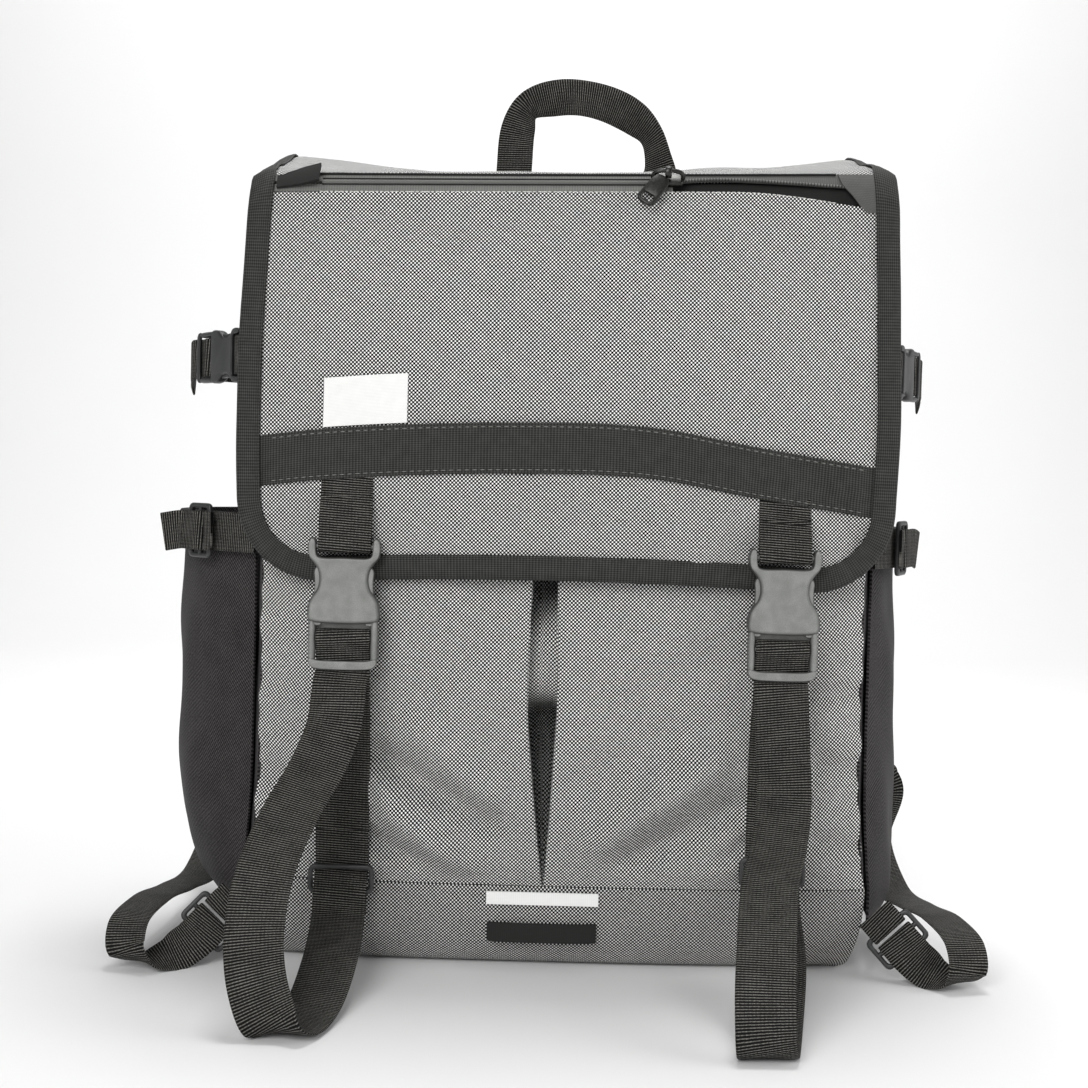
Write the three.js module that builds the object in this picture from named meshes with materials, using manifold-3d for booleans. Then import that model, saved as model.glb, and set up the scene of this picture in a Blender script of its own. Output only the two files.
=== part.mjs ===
// A large flap-top rucksack: cloth body, bound flap with a zip on its fold, buckled straps and side pockets.
// Millimetres, +Z up, the front faces -Y, and the origin is on the floor under the middle of the bag.
import * as THREE from "three";
import { mergeVertices } from "three/addons/utils/BufferGeometryUtils.js";
import Module from "manifold-3d";

const wasm = await Module();
wasm.setup();

// Driving dimensions
const GAP = 0.4;
const CLOTH = 1.8;
const BACK_PADDING = 8;
const WIDE_WEBBING = 32;
const NARROW_WEBBING = 25;
const TAB_WEBBING = 31;
const SIDE_WEBBING = 24;
const WEBBING_THICK = 1.5;

// Body
const SEAM_X = 184;
const BACK_SEAM_X = 178;
const FRONT_SEAM_Y = -80;
const BACK_SEAM_Y = 84;
const BASE_SEAM_Z = 52;
const RIM_CLEARANCE = 4;
const WALL_ROUNDING = 3;
const PLEAT_X = -8;

// How far each wall stands out beyond its upright seams, from the base seam (share 0) to the rim (share 1).
const BODY_ROWS = [
  { share: 0.0, front: 12, side: 5, back: 4, widen: 6 },
  { share: 0.03, front: 16, side: 8, back: 5, widen: 4 },
  { share: 0.12, front: 20, side: 10, back: 6, widen: 1 },
  { share: 0.3, front: 21, side: 11, back: 6, widen: 0 },
  { share: 0.5, front: 19, side: 10, back: 6, widen: 0 },
  { share: 0.75, front: 15, side: 8, back: 5, widen: -1 },
  { share: 1.0, front: 8, side: 4, back: 3, widen: -2 },
];

// The inverted pleat in the front wall: half its open width and its depth, by height.
const PLEAT_ROWS = [
  { z: 52, half: 0.8, depth: 3 },
  { z: 130, half: 4, depth: 8 },
  { z: 235, half: 9, depth: 13 },
  { z: 480, half: 10, depth: 14 },
];

// The bottom tray: how far each ring lies inside the base seam, by height.
const TRAY_ROWS = [
  { z: 0, inset: 16 },
  { z: 3, inset: 8 },
  { z: 11, inset: 3 },
  { z: 28, inset: -1 },
  { z: 52, inset: 0 },
];

// Side pockets: how far out each one reaches, by height.
const POCKET_ROWS = [
  { z: 24, left: 203, right: 201 },
  { z: 29, left: 214, right: 209 },
  { z: 44, left: 231, right: 216 },
  { z: 85, left: 245, right: 219 },
  { z: 160, left: 247, right: 216 },
  { z: 240, left: 246, right: 213 },
  { z: 274, left: 245, right: 212 },
];
const POCKET_EDGE = 5;
const POCKET_HEM = 12;
const POCKET_ROUNDING = 2.4;

// Flap: its middle line from the seam on the back, over the top and down the front, with its half width.
const FLAP_ROWS = [
  { half: 202, y: 93, z: 494 },
  { half: 203, y: 92.5, z: 510 },
  { half: 204, y: 83, z: 520 },
  { half: 200, y: 0, z: 503 },
  { half: 194, y: -70, z: 490.5 },
  { half: 192, y: -92, z: 484 },
  { half: 192, y: -104, z: 470.5 },
  { half: 193, y: -109, z: 441 },
  { half: 195, y: -113, z: 385 },
  { half: 196, y: -114, z: 325 },
  { half: 195, y: -112, z: 280 },
  { half: 194, y: -108, z: 235 },
];
const FLAP_THICK = 2.4;
const FLAP_BOW = 14;
const FLAP_SAG = 17;
const FLAP_TILT = 4;
const FLAP_RISE = 3;
// The fold at the flap's front edge climbs to the right by this much in each millimetre.
const FOLD_LEAN = 0.0235;
const FOLD_LEVEL_X = 24;
const FOLD_DIP = 2;
const HEM_RISE = 0.14;
const HEM_CORNER = 50;
const TOP_END_ROW = 5.1;
const ZIP_START_ROW = 5.13;
const ZIP_END_ROW = 5.92;
const FRONT_START_ROW = 5.95;
const BINDING_REACH = 13;
const BINDING_THICK = 1.1;

// Middle line of the webbing band across the flap.
const BAND_ROWS = [
  { x: -184, z: 306 },
  { x: -144, z: 311 },
  { x: -71, z: 316 },
  { x: 10, z: 318 },
  { x: 54, z: 316 },
  { x: 109, z: 307 },
  { x: 184, z: 296 },
];
const BAND_HEIGHT = 30;
const BAND_END_X = 179;
const LABEL = { fromX: -145, toX: -95, height: 29, thick: 0.8 };

// Zip
const SLIDER_X = 55;
const ZIP_SLIT = { fromX: 64, toX: 156 };
const ZIP_TAB = { fromX: -177, toX: -152 };
const ZIP_PATCH = { fromX: 157, toX: 178 };
const PULL_SKEW = THREE.MathUtils.degToRad(35);
const PULL_LEAN = THREE.MathUtils.degToRad(24);

// Front closure
const BUCKLE_X = 130;
const SOCKET_BASE_Z = 212;
const BUCKLE = { width: 43, socketHeight: 50, plugHeight: 28, thick: 9 };
const KEEPER = { width: 40, height: 18, bar: 3, leftZ: 55, rightZ: 66 };

// Free run of each front strap, from the buckle out to the floor and back to the keeper.
const LEFT_STRAP_ROWS = [
  { x: -131, y: -116, z: 176, turn: 0 },
  { x: -133, y: -123, z: 152, turn: 4 },
  { x: -140, y: -136, z: 131, turn: 8 },
  { x: -153, y: -165, z: 105, turn: 10 },
  { x: -161, y: -195, z: 78, turn: 8 },
  { x: -162, y: -216, z: 49, turn: 5 },
  { x: -157, y: -227, z: 26, turn: 0 },
  { x: -149, y: -230, z: 9, turn: -4 },
  { x: -142, y: -222, z: 3.6, turn: -6 },
  { x: -134, y: -192, z: 5.6, turn: -6 },
  { x: -129, y: -150, z: 22, turn: -2 },
];
const RIGHT_STRAP_ROWS = [
  { x: 130, y: -114, z: 178, turn: 0 },
  { x: 132, y: -117, z: 140, turn: 0 },
  { x: 132, y: -126, z: 115, turn: 0 },
  { x: 126, y: -150, z: 92, turn: -4 },
  { x: 118, y: -178, z: 77, turn: -6 },
  { x: 112, y: -215, z: 53, turn: -4 },
  { x: 109, y: -238, z: 32, turn: 0 },
  { x: 109, y: -247, z: 12, turn: 2 },
  { x: 111, y: -240, z: 3, turn: 4 },
  { x: 119, y: -200, z: 5, turn: 5 },
  { x: 128, y: -150, z: 28, turn: 2 },
];

// Side straps
const UPPER_STRAP_Z = 371;
const UPPER_STRAP_OUT = { left: 243, right: 228 };
const LOWER_STRAP_Z = 262;
const LOWER_TAIL = { left: { length: 16, out: 10, drop: 2 }, right: { length: 12, out: 5, drop: 1.5 } };
const SIDE_SLIDER = { width: 34, length: 22, bar: 3, thick: 3 };
const SIDE_BUCKLE_SCALE = NARROW_WEBBING / WIDE_WEBBING;

// Carry handle behind the flap's back edge.
const HANDLE_ROWS = [
  { x: -41, y: 97, z: 496, twist: 0 },
  { x: -40.5, y: 97, z: 520, twist: 0 },
  { x: -38.5, y: 97.5, z: 545, twist: 20 },
  { x: -32, y: 98, z: 561.5, twist: 48 },
  { x: -12, y: 98.5, z: 568, twist: 18 },
  { x: 6, y: 98.5, z: 568.5, twist: 0 },
  { x: 27, y: 98, z: 563.5, twist: 8 },
  { x: 45, y: 98, z: 554, twist: 34 },
  { x: 56, y: 98, z: 543, twist: 56 },
  { x: 61.5, y: 98.5, z: 525, twist: 44 },
  { x: 62.8, y: 98, z: 510, twist: 6 },
  { x: 63, y: 97, z: 498, twist: 0 },
];
const HANDLE_THICK = 2.6;

// Shoulder straps: middle line of the right pad, with its width.
const PAD_ROWS = [
  { x: 48, y: 100, z: 486, width: 58 },
  { x: 54, y: 122, z: 440, width: 64 },
  { x: 70, y: 149, z: 370, width: 66 },
  { x: 98, y: 162, z: 300, width: 64 },
  { x: 138, y: 158, z: 225, width: 58 },
  { x: 185, y: 141, z: 160, width: 48 },
  { x: 222, y: 118, z: 108, width: 38 },
  { x: 241, y: 104, z: 82, width: 30 },
];
const PAD_THICK = 11;
const PAD_EDGE = 3.5;

// Webbing from the right pad round the floor loop to its adjuster, with how far the webbing's width tips up.
const LOOP_ROWS = [
  { x: 229.4, y: 103.6, z: 97.4, tip: 37, turn: 0 },
  { x: 238.6, y: 96.6, z: 84, tip: 37, turn: 0 },
  { x: 227, y: 82, z: 52, tip: 18, turn: 0 },
  { x: 229, y: 30, z: 27, tip: 4, turn: 2 },
  { x: 234, y: -30, z: 30, tip: 0, turn: 6 },
  { x: 240, y: -75, z: 34, tip: 0, turn: 10 },
  { x: 246, y: -107, z: 27, tip: 0, turn: 12 },
  { x: 246, y: -116, z: 14, tip: 0, turn: 14 },
  { x: 241, y: -110, z: 5.4, tip: 2, turn: 24 },
  { x: 231, y: -102, z: 7, tip: 14, turn: 24 },
];
const LEFT_LOOP_SHIFT = 10;
const ADJUSTER = { x: 209, y: -91, z: 25, width: 34, length: 22, bar: 3, thick: 3 };

// Colours
const GREY_CLOTH = 0x7d7d7b;
const BLACK_CLOTH = 0x2c2829;
const BLACK_WEBBING = 0x30302e;
const DARK_PLASTIC = 0x626462;
const PALE_TAPE = 0xe4e4e2;
const WHITE_LABEL = 0xe6e6e4;
const STEEL = 0x8d8f92;

const bag = new THREE.Group();

function addPiece(name, geometry, color, roughness = 0.9, metalness = 0) {
  const piece = new THREE.Mesh(geometry, new THREE.MeshStandardMaterial({ color, roughness, metalness }));
  piece.name = name;
  bag.add(piece);
  return piece;
}

// Tables and small maths
const clamp01 = (value) => Math.min(Math.max(value, 0), 1);
const mix = (from, to, share) => from + (to - from) * share;

// Evenly spaced values, both ends included.
function steps(count, from = 0, to = 1) {
  return Array.from({ length: count + 1 }, (_, i) => mix(from, to, i / count));
}

function smoothStep(from, to, value) {
  const share = clamp01((value - from) / (to - from));
  return share * share * (3 - 2 * share);
}

// A column of a table at a place along its key column, on a smooth curve through the rows.
function columnAt(table, key, column, place) {
  const last = table.length - 1;
  if (place <= table[0][key]) return table[0][column];
  if (place >= table[last][key]) return table[last][column];
  const low = table.findIndex((row, i) => place < table[i + 1][key]);
  const places = [low - 1, low, low + 1, low + 2];
  const [before, from, to, after] = places.map((i) => table[THREE.MathUtils.clamp(i, 0, last)]);
  const span = to[key] - from[key];
  const t = (place - from[key]) / span;
  const startSlope = ((to[column] - before[column]) / (to[key] - before[key])) * span;
  const endSlope = ((after[column] - from[column]) / (after[key] - from[key])) * span;
  const rise = to[column] - from[column];
  const bend = startSlope + endSlope - 2 * rise;
  return from[column] + t * (startSlope + t * (3 * rise - 2 * startSlope - endSlope + t * bend));
}

// A closed solid from points and triangles, turned so that its faces point out.
function solidOf(points, triangles) {
  let volume = 0;
  for (let i = 0; i < triangles.length; i += 3) {
    const [a, b, c] = [points[triangles[i]], points[triangles[i + 1]], points[triangles[i + 2]]];
    volume += a.dot(b.clone().cross(c));
  }
  const facing = volume > 0 ? triangles : [...triangles].reverse();
  const geometry = new THREE.BufferGeometry();
  geometry.setAttribute("position", new THREE.Float32BufferAttribute(points.flatMap((p) => p.toArray()), 3));
  geometry.setIndex(facing);
  return geometry;
}

const quad = (a, b, c, d) => [a, b, c, a, c, d];

// A wall between an outer and an inner grid of points.
function wallBetween(outer, inner) {
  const [rows, columns] = [outer.length, outer[0].length];
  const at = (side, r, c) => (side * rows + r) * columns + c;
  const triangles = [];
  for (let r = 0; r + 1 < rows; r++) {
    for (let c = 0; c + 1 < columns; c++) {
      triangles.push(...quad(at(0, r, c), at(0, r, c + 1), at(0, r + 1, c + 1), at(0, r + 1, c)));
      triangles.push(...quad(at(1, r, c), at(1, r + 1, c), at(1, r + 1, c + 1), at(1, r, c + 1)));
    }
    const end = columns - 1;
    triangles.push(...quad(at(0, r, 0), at(0, r + 1, 0), at(1, r + 1, 0), at(1, r, 0)));
    triangles.push(...quad(at(1, r, end), at(1, r + 1, end), at(0, r + 1, end), at(0, r, end)));
  }
  for (let c = 0; c + 1 < columns; c++) {
    const top = rows - 1;
    triangles.push(...quad(at(1, 0, c), at(1, 0, c + 1), at(0, 0, c + 1), at(0, 0, c)));
    triangles.push(...quad(at(0, top, c), at(0, top, c + 1), at(1, top, c + 1), at(1, top, c)));
  }
  return solidOf([...outer.flat(), ...inner.flat()], triangles);
}

// Outward normal of a grid whose columns run to the right and rows upwards, seen from outside.
function gridNormal(grid, r, c) {
  const [rows, columns] = [grid.length, grid[0].length];
  const across = grid[r][Math.min(c + 1, columns - 1)].clone().sub(grid[r][Math.max(c - 1, 0)]);
  const upward = grid[Math.min(r + 1, rows - 1)][c].clone().sub(grid[Math.max(r - 1, 0)][c]);
  return across.cross(upward).normalize();
}

// A grid moved inwards by a depth, with its first and last columns drawn in as well so that corners mitre.
function insetGrid(grid, depth, endDraw = depth) {
  const end = grid[0].length - 1;
  return grid.map((row, r) => row.map((point, c) => {
    const moved = point.clone().addScaledVector(gridNormal(grid, r, c), -depth);
    if (c === 0) moved.addScaledVector(row[1].clone().sub(row[0]).normalize(), endDraw);
    if (c === end) moved.addScaledVector(row[end - 1].clone().sub(row[end]).normalize(), endDraw);
    return moved;
  }));
}

const clothWall = (grid, depth, endDraw) => wallBetween(grid, insetGrid(grid, depth, endDraw));

// A solid through closed sections of points; an open run gets end caps from the section's flat outline.
// The far half of each section is split on the other diagonal, so thin bands keep their thickness in a twist.
function loft(sections, flatOutline, closed = false) {
  const size = sections[0].length;
  const triangles = [];
  const last = closed ? sections.length : sections.length - 1;
  for (let i = 0; i < last; i++) {
    const here = i * size;
    const next = ((i + 1) % sections.length) * size;
    for (let j = 0; j < size; j++) {
      const k = (j + 1) % size;
      const corners = [here + j, here + k, next + k, next + j];
      triangles.push(...(j < size / 2 ? quad(...corners) : quad(...corners.slice(1), corners[0])));
    }
  }
  if (!closed) {
    const offset = (sections.length - 1) * size;
    for (const [a, b, c] of THREE.ShapeUtils.triangulateShape(flatOutline, [])) {
      triangles.push(a, c, b, a + offset, b + offset, c + offset);
    }
  }
  return solidOf(sections.flat(), triangles);
}

// A band swept along a path; widthAt gives the direction of its width at a share of the path.
function webbing(points, widthAt, { width, thick = WEBBING_THICK, split = 2, closed = false }) {
  const curve = new THREE.CatmullRomCurve3(points, closed, "centripetal");
  const count = split * (closed ? points.length : points.length - 1);
  const shares = steps(count).slice(0, closed ? count : count + 1);
  const sections = shares.map((share) => {
    const middle = curve.getPoint(share);
    const along = curve.getTangent(share);
    const across = widthAt(share).clone();
    across.addScaledVector(along, -across.dot(along)).normalize().multiplyScalar(width / 2);
    const out = along.clone().cross(across).normalize().multiplyScalar(thick / 2);
    return [[-1, -1], [1, -1], [1, 1], [-1, 1]].map(([a, b]) => (
      middle.clone().addScaledVector(across, a).addScaledVector(out, b)
    ));
  });
  const outline = [[0, 0], [1, 0], [1, 1], [0, 1]].map(([a, b]) => new THREE.Vector2(a, b));
  return loft(sections, outline, closed);
}

// Half a turn of webbing round a bar as [forward, outside] pairs, from its inner side to its outer side.
function roundBar(reach) {
  const angles = steps(4, -Math.PI / 2, Math.PI / 2);
  return angles.map((angle) => [reach * Math.cos(angle), reach * Math.sin(angle)]);
}

const pointOf = ({ x, y, z }) => new THREE.Vector3(x, y, z);
const RIGHTWARD = new THREE.Vector3(1, 0, 0);
const BACKWARD = new THREE.Vector3(0, 1, 0);
const UPWARD = new THREE.Vector3(0, 0, 1);
const flatBand = () => RIGHTWARD;
const uprightBand = () => UPWARD;

// Width direction of a table's row from its turn about the vertical and its tip upwards, in degrees.
function widthOf({ turn = 0, tip = 0 }) {
  const [aside, rise] = [turn, tip].map((degrees) => Math.sin(THREE.MathUtils.degToRad(degrees)));
  return new THREE.Vector3(Math.sqrt(1 - Math.min(aside ** 2 + rise ** 2, 0.9)), aside, rise);
}

// Width direction along a path, blended between the directions at its control points.
function widthBetween(directions) {
  return (share) => {
    const place = share * (directions.length - 1);
    const from = Math.min(Math.floor(place), directions.length - 2);
    return directions[from].clone().lerp(directions[from + 1], place - from);
  };
}

// Joining and cutting
function toSolid(geometry) {
  const bare = geometry.clone();
  bare.deleteAttribute("normal");
  bare.deleteAttribute("uv");
  const merged = mergeVertices(bare, 1e-4);
  const vertProperties = new Float32Array(merged.attributes.position.array);
  const triVerts = new Uint32Array(merged.index.array);
  return new wasm.Manifold(new wasm.Mesh({ numProp: 3, vertProperties, triVerts }));
}

function toGeometry(solid) {
  const mesh = solid.getMesh();
  const geometry = new THREE.BufferGeometry();
  geometry.setAttribute("position", new THREE.BufferAttribute(new Float32Array(mesh.vertProperties), 3));
  geometry.setIndex(new THREE.BufferAttribute(new Uint32Array(mesh.triVerts), 1));
  return geometry;
}

const join = (...geometries) => toGeometry(geometries.map(toSolid).reduce((a, b) => a.add(b)));

function cut(geometry, ...tools) {
  return toGeometry(tools.map(toSolid).reduce((a, b) => a.subtract(b), toSolid(geometry)));
}

function block(fromX, toX, fromY, toY, fromZ, toZ) {
  const geometry = new THREE.BoxGeometry(toX - fromX, toY - fromY, toZ - fromZ);
  return geometry.translate((fromX + toX) / 2, (fromY + toY) / 2, (fromZ + toZ) / 2);
}

// A flat outline in X and Z, given as [x, z] pairs, made thick about y = 0.
function plate(outline, thick) {
  const shape = new THREE.Shape(outline.map(([x, z]) => new THREE.Vector2(x, z)));
  const geometry = new THREE.ExtrudeGeometry(shape, { depth: thick, bevelEnabled: false });
  return geometry.translate(0, 0, -thick / 2).rotateX(Math.PI / 2);
}

// A cutter for a slot right through a plate.
const slot = (half, fromZ, toZ) => block(-half, half, -20, 20, fromZ, toZ);

const mirrored = (half) => [...half, ...half.map(([x, z]) => [-x, z]).reverse()];
const rectangle = (halfX, fromZ, toZ) => [[halfX, fromZ], [halfX, toZ], [-halfX, toZ], [-halfX, fromZ]];

// Flap surface
const flapCurve = new THREE.CatmullRomCurve3(FLAP_ROWS.map(({ half, y, z }) => pointOf({ x: half, y, z })));
const LAST_FLAP_ROW = FLAP_ROWS.length - 1;

// A point of the flap's outer face, at a place across it and a row along it from the back seam to the hem.
function flapPoint(x, row) {
  const middle = flapCurve.getPoint(clamp01(row / LAST_FLAP_ROW));
  const share = (x / middle.x) ** 2;
  const bow = FLAP_BOW * smoothStep(3, 7, row) * share;
  const fade = 1 - smoothStep(2, 5, row);
  const rise = FLAP_RISE * smoothStep(0, 60, x) * (1 - smoothStep(80, 180, x));
  const sag = fade * (FLAP_SAG * (1 - share) - FLAP_TILT * (1 + x / middle.x) - rise);
  const fold = smoothStep(2, 4.5, row) * (1 - smoothStep(6, 8, row));
  const lean = fold * (FOLD_LEAN * (x - FOLD_LEVEL_X) - FOLD_DIP * (1 - share));
  return new THREE.Vector3(x, middle.y + bow, middle.z - sag + lean);
}

const flapHalf = (row) => flapCurve.getPoint(clamp01(row / LAST_FLAP_ROW)).x;
const hemRow = (x) => LAST_FLAP_ROW - HEM_RISE * (1 - (x / SEAM_X) ** 2);

function flapNormal(x, row) {
  const nudge = 0.02;
  const across = flapPoint(x + 1, row).sub(flapPoint(x - 1, row));
  const downward = flapPoint(x, row + nudge).sub(flapPoint(x, row - nudge));
  return downward.cross(across).normalize();
}

// The flap's row at a height on its front fall.
function flapRowAt(x, z) {
  let [low, high] = [FRONT_START_ROW, LAST_FLAP_ROW + 0.5];
  for (let i = 0; i < 40; i++) {
    const middle = (low + high) / 2;
    if (flapPoint(x, middle).z > z) low = middle;
    else high = middle;
  }
  return low;
}

// Half width of the flap at a row, drawn in round its lower corners.
function flapEdge(row) {
  const above = flapPoint(SEAM_X, row).z - flapPoint(SEAM_X, LAST_FLAP_ROW).z;
  const left = HEM_CORNER - Math.min(Math.max(above, 0), HEM_CORNER);
  return flapHalf(row) - HEM_CORNER + Math.sqrt(HEM_CORNER ** 2 - left ** 2);
}

// A sheet on the flap: rows of [row, half width] with columns spread across, lifted off the outer face.
function flapSheet(grid, lift, thick) {
  const raised = (amount) => grid.map((line) => line.map(([x, row]) => (
    flapPoint(x, row).addScaledVector(flapNormal(x, row), amount)
  )));
  return wallBetween(raised(lift + thick), raised(lift));
}

function flapGrid(rows, columns) {
  return rows.map((row) => steps(columns, -flapEdge(row), flapEdge(row)).map((x) => [x, row]));
}

const TOP_ROWS = [0, 0.6, 1.1, 1.5, 2, 2.5, 3, 4, 4.6, TOP_END_ROW];
const FRONT_SHARES = [0, 0.05, 0.14, 0.3, 0.46, 0.62, 0.75, 0.84, 0.9, 0.95, 0.985, 1];

// The front fall's grid, with its lowest rows raised to the arch of the hem.
function flapFrontGrid() {
  const rows = FRONT_SHARES.map((share) => mix(FRONT_START_ROW, LAST_FLAP_ROW, share));
  return flapGrid(rows, 12).map((line, i) => line.map(([x, row]) => (
    [x, row - smoothStep(0.75, 1, FRONT_SHARES[i]) * (LAST_FLAP_ROW - hemRow(x))]
  )));
}

function addFlap() {
  addPiece("flap_top", flapSheet(flapGrid(TOP_ROWS, 10), -FLAP_THICK, FLAP_THICK), GREY_CLOTH);
  addPiece("flap_front", flapSheet(flapFrontGrid(), -FLAP_THICK, FLAP_THICK), GREY_CLOTH);

  const zipRows = steps(2, ZIP_START_ROW, ZIP_END_ROW);
  const zipTape = flapSheet(flapGrid(zipRows, 12), -FLAP_THICK, FLAP_THICK);
  const slitRows = steps(1, mix(ZIP_START_ROW, ZIP_END_ROW, 0.36), mix(ZIP_START_ROW, ZIP_END_ROW, 0.6));
  const slitGrid = slitRows.map((row, i) => steps(4).map((share) => {
    const swell = Math.sin(Math.PI * share) * (i === 0 ? -0.12 : 0.12);
    return [mix(ZIP_SLIT.fromX, ZIP_SLIT.toX, share), row + swell];
  }));
  addPiece("zip_tape", cut(zipTape, flapSheet(slitGrid, -FLAP_THICK - 3, FLAP_THICK + 6)), GREY_CLOTH);

  const tabGrid = zipRows.map((row) => steps(2, ZIP_TAB.fromX, ZIP_TAB.toX).map((x) => [x, row]));
  addPiece("zip_tab_left", flapSheet(tabGrid, GAP, CLOTH), BLACK_CLOTH);
  const patchGrid = steps(4, ZIP_START_ROW, ZIP_END_ROW + 0.9).map((row, i) => (
    steps(2, ZIP_PATCH.fromX + i * 3, ZIP_PATCH.toX).map((x) => [x, row])
  ));
  addPiece("zip_patch_right", flapSheet(patchGrid, GAP, 1.2), BLACK_CLOTH);
}

// The flap's bound edge as [x, row] pairs: down the left side, along the hem and up the right side.
function flapOutline() {
  const zipMiddle = (ZIP_START_ROW + ZIP_END_ROW) / 2;
  const front = flapFrontGrid();
  const leftSide = [...flapGrid([...TOP_ROWS, zipMiddle], 1), ...front].map((line) => line[0]);
  const hem = front[front.length - 1].slice(1, -1);
  return [...leftSide, ...hem, ...leftSide.map(([x, row]) => [-x, row]).reverse()];
}

function addBinding() {
  const outline = flapOutline();
  const edge = outline.map(([x, row]) => flapPoint(x, row));
  const inner = 2 * GAP;
  const outer = inner + BINDING_THICK;
  const section = [
    [BINDING_REACH, inner], [BINDING_REACH, outer], [-outer, outer], [-outer, -FLAP_THICK - outer],
    [BINDING_REACH, -FLAP_THICK - outer], [BINDING_REACH, -FLAP_THICK - inner],
    [-inner, -FLAP_THICK - inner], [-inner, inner],
  ];
  const sections = outline.map(([x, row], i) => {
    const along = edge[Math.min(i + 1, edge.length - 1)].clone().sub(edge[Math.max(i - 1, 0)]).normalize();
    const normal = flapNormal(x, row);
    const inward = normal.clone().cross(along).normalize();
    return section.map(([a, b]) => edge[i].clone().addScaledVector(inward, a).addScaledVector(normal, b));
  });
  addPiece("flap_binding", loft(sections, section.map(([a, b]) => new THREE.Vector2(a, b))), BLACK_WEBBING);
}

const bandZ = (x) => columnAt(BAND_ROWS, "x", "z", x);

function addBandAndLabel() {
  const bandGrid = [-0.5, 0, 0.5].map((share) => steps(14, -BAND_END_X, BAND_END_X).map((x) => (
    [x, flapRowAt(x, bandZ(x) + share * BAND_HEIGHT)]
  )));
  addPiece("flap_band", flapSheet(bandGrid, GAP, WEBBING_THICK), BLACK_WEBBING);
  const labelGrid = steps(2).map((share) => steps(2, LABEL.fromX, LABEL.toX).map((x) => (
    [x, flapRowAt(x, bandZ(x) + BAND_HEIGHT / 2 + 1 + share * LABEL.height)]
  )));
  addPiece("flap_label", flapSheet(labelGrid, GAP, LABEL.thick), WHITE_LABEL, 0.7);
}

// Body walls
const bodyAt = (column, share) => columnAt(BODY_ROWS, "share", column, share);
const roundedOff = (s, power) => 1 - Math.abs(s) ** power;

// Height of the body's rim under the flap's top.
function rimZ(x, y) {
  let [low, high] = [1.8, 6];
  for (let i = 0; i < 30; i++) {
    const middle = (low + high) / 2;
    if (flapPoint(x, middle).y > y) low = middle;
    else high = middle;
  }
  return flapPoint(x, low).z - FLAP_THICK - RIM_CLEARANCE;
}

// Plan of one wall at a share of the height; s runs from -1 to 1 to the right seen from outside.
const WALLS = {
  front: (s, share) => {
    const half = SEAM_X + bodyAt("widen", share);
    return [s * half, FRONT_SEAM_Y - bodyAt("front", share) * roundedOff(s, WALL_ROUNDING)];
  },
  right: (s, share) => {
    const widen = bodyAt("widen", share);
    const seam = mix(SEAM_X, BACK_SEAM_X, (s + 1) / 2) + widen;
    const bulge = bodyAt("side", share) * roundedOff(s, WALL_ROUNDING);
    return [seam + bulge, mix(FRONT_SEAM_Y, BACK_SEAM_Y, (s + 1) / 2)];
  },
  back: (s, share) => {
    const half = BACK_SEAM_X + bodyAt("widen", share);
    return [-s * half, BACK_SEAM_Y + bodyAt("back", share) * roundedOff(s, WALL_ROUNDING + 1)];
  },
  left: (s, share) => {
    const [x, y] = WALLS.right(-s, share);
    return [-x, y];
  },
};

function wallPoint([x, y], share) {
  return new THREE.Vector3(x, y, mix(BASE_SEAM_Z + GAP, rimZ(x, y), share));
}

// The front wall's face at a height, ignoring its pleat.
function frontY(x, z) {
  const share = clamp01((z - BASE_SEAM_Z) / (rimZ(x, FRONT_SEAM_Y) - BASE_SEAM_Z));
  return WALLS.front(x / (SEAM_X + bodyAt("widen", share)), share)[1];
}

function frontWallGrid(shares) {
  const seamGap = GAP / 2;
  return shares.map((share) => {
    const half = SEAM_X + bodyAt("widen", share) - seamGap;
    const z = mix(BASE_SEAM_Z, rimZ(0, FRONT_SEAM_Y), share);
    const open = columnAt(PLEAT_ROWS, "z", "half", z);
    const depth = columnAt(PLEAT_ROWS, "z", "depth", z);
    const columns = [
      ...steps(6, -half, PLEAT_X - open).map((x) => [x, 0]),
      [PLEAT_X - 0.75 * open, depth], [PLEAT_X, depth + 0.6], [PLEAT_X + 0.75 * open, depth],
      ...steps(6, PLEAT_X + open, half).map((x) => [x, 0]),
    ];
    return columns.map(([x, back]) => {
      const [, y] = WALLS.front(x / (half + seamGap), share);
      return wallPoint([x, y + back], share);
    });
  });
}

function wallGrid(wall, shares, columns) {
  const end = 1 - GAP / 2 / BACK_SEAM_Y;
  return shares.map((share) => steps(columns, -end, end).map((s) => wallPoint(WALLS[wall](s, share), share)));
}

function addBody() {
  const shares = [0, 0.025, 0.07, 0.15, 0.27, 0.4, 0.55, 0.7, 0.85, 1];
  addPiece("front_panel", clothWall(frontWallGrid(shares), CLOTH), GREY_CLOTH);
  const sideShares = [0, 0.04, 0.12, 0.27, 0.45, 0.65, 0.85, 1];
  addPiece("side_panel_left", clothWall(wallGrid("left", sideShares, 6), CLOTH), BLACK_CLOTH);
  addPiece("side_panel_right", clothWall(wallGrid("right", sideShares, 6), CLOTH), BLACK_CLOTH);
  addPiece("back_panel", clothWall(wallGrid("back", sideShares, 8), BACK_PADDING), BLACK_CLOTH);
}

// The tray's plan at its rim, as one loop of points with its outward directions.
function trayLoop() {
  const counts = { front: 12, right: 6, back: 8, left: 6 };
  const plan = Object.entries(counts).flatMap(([wall, count]) => (
    steps(count, -1, 1).slice(0, count).map((s) => new THREE.Vector2(...WALLS[wall](s, 0)))
  ));
  return plan.map((point, i) => {
    const [before, after] = [plan.length - 1, 1].map((step) => plan[(i + step) % plan.length]);
    const along = after.clone().sub(before).normalize();
    return { point, out: new THREE.Vector2(along.y, -along.x) };
  });
}

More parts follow.
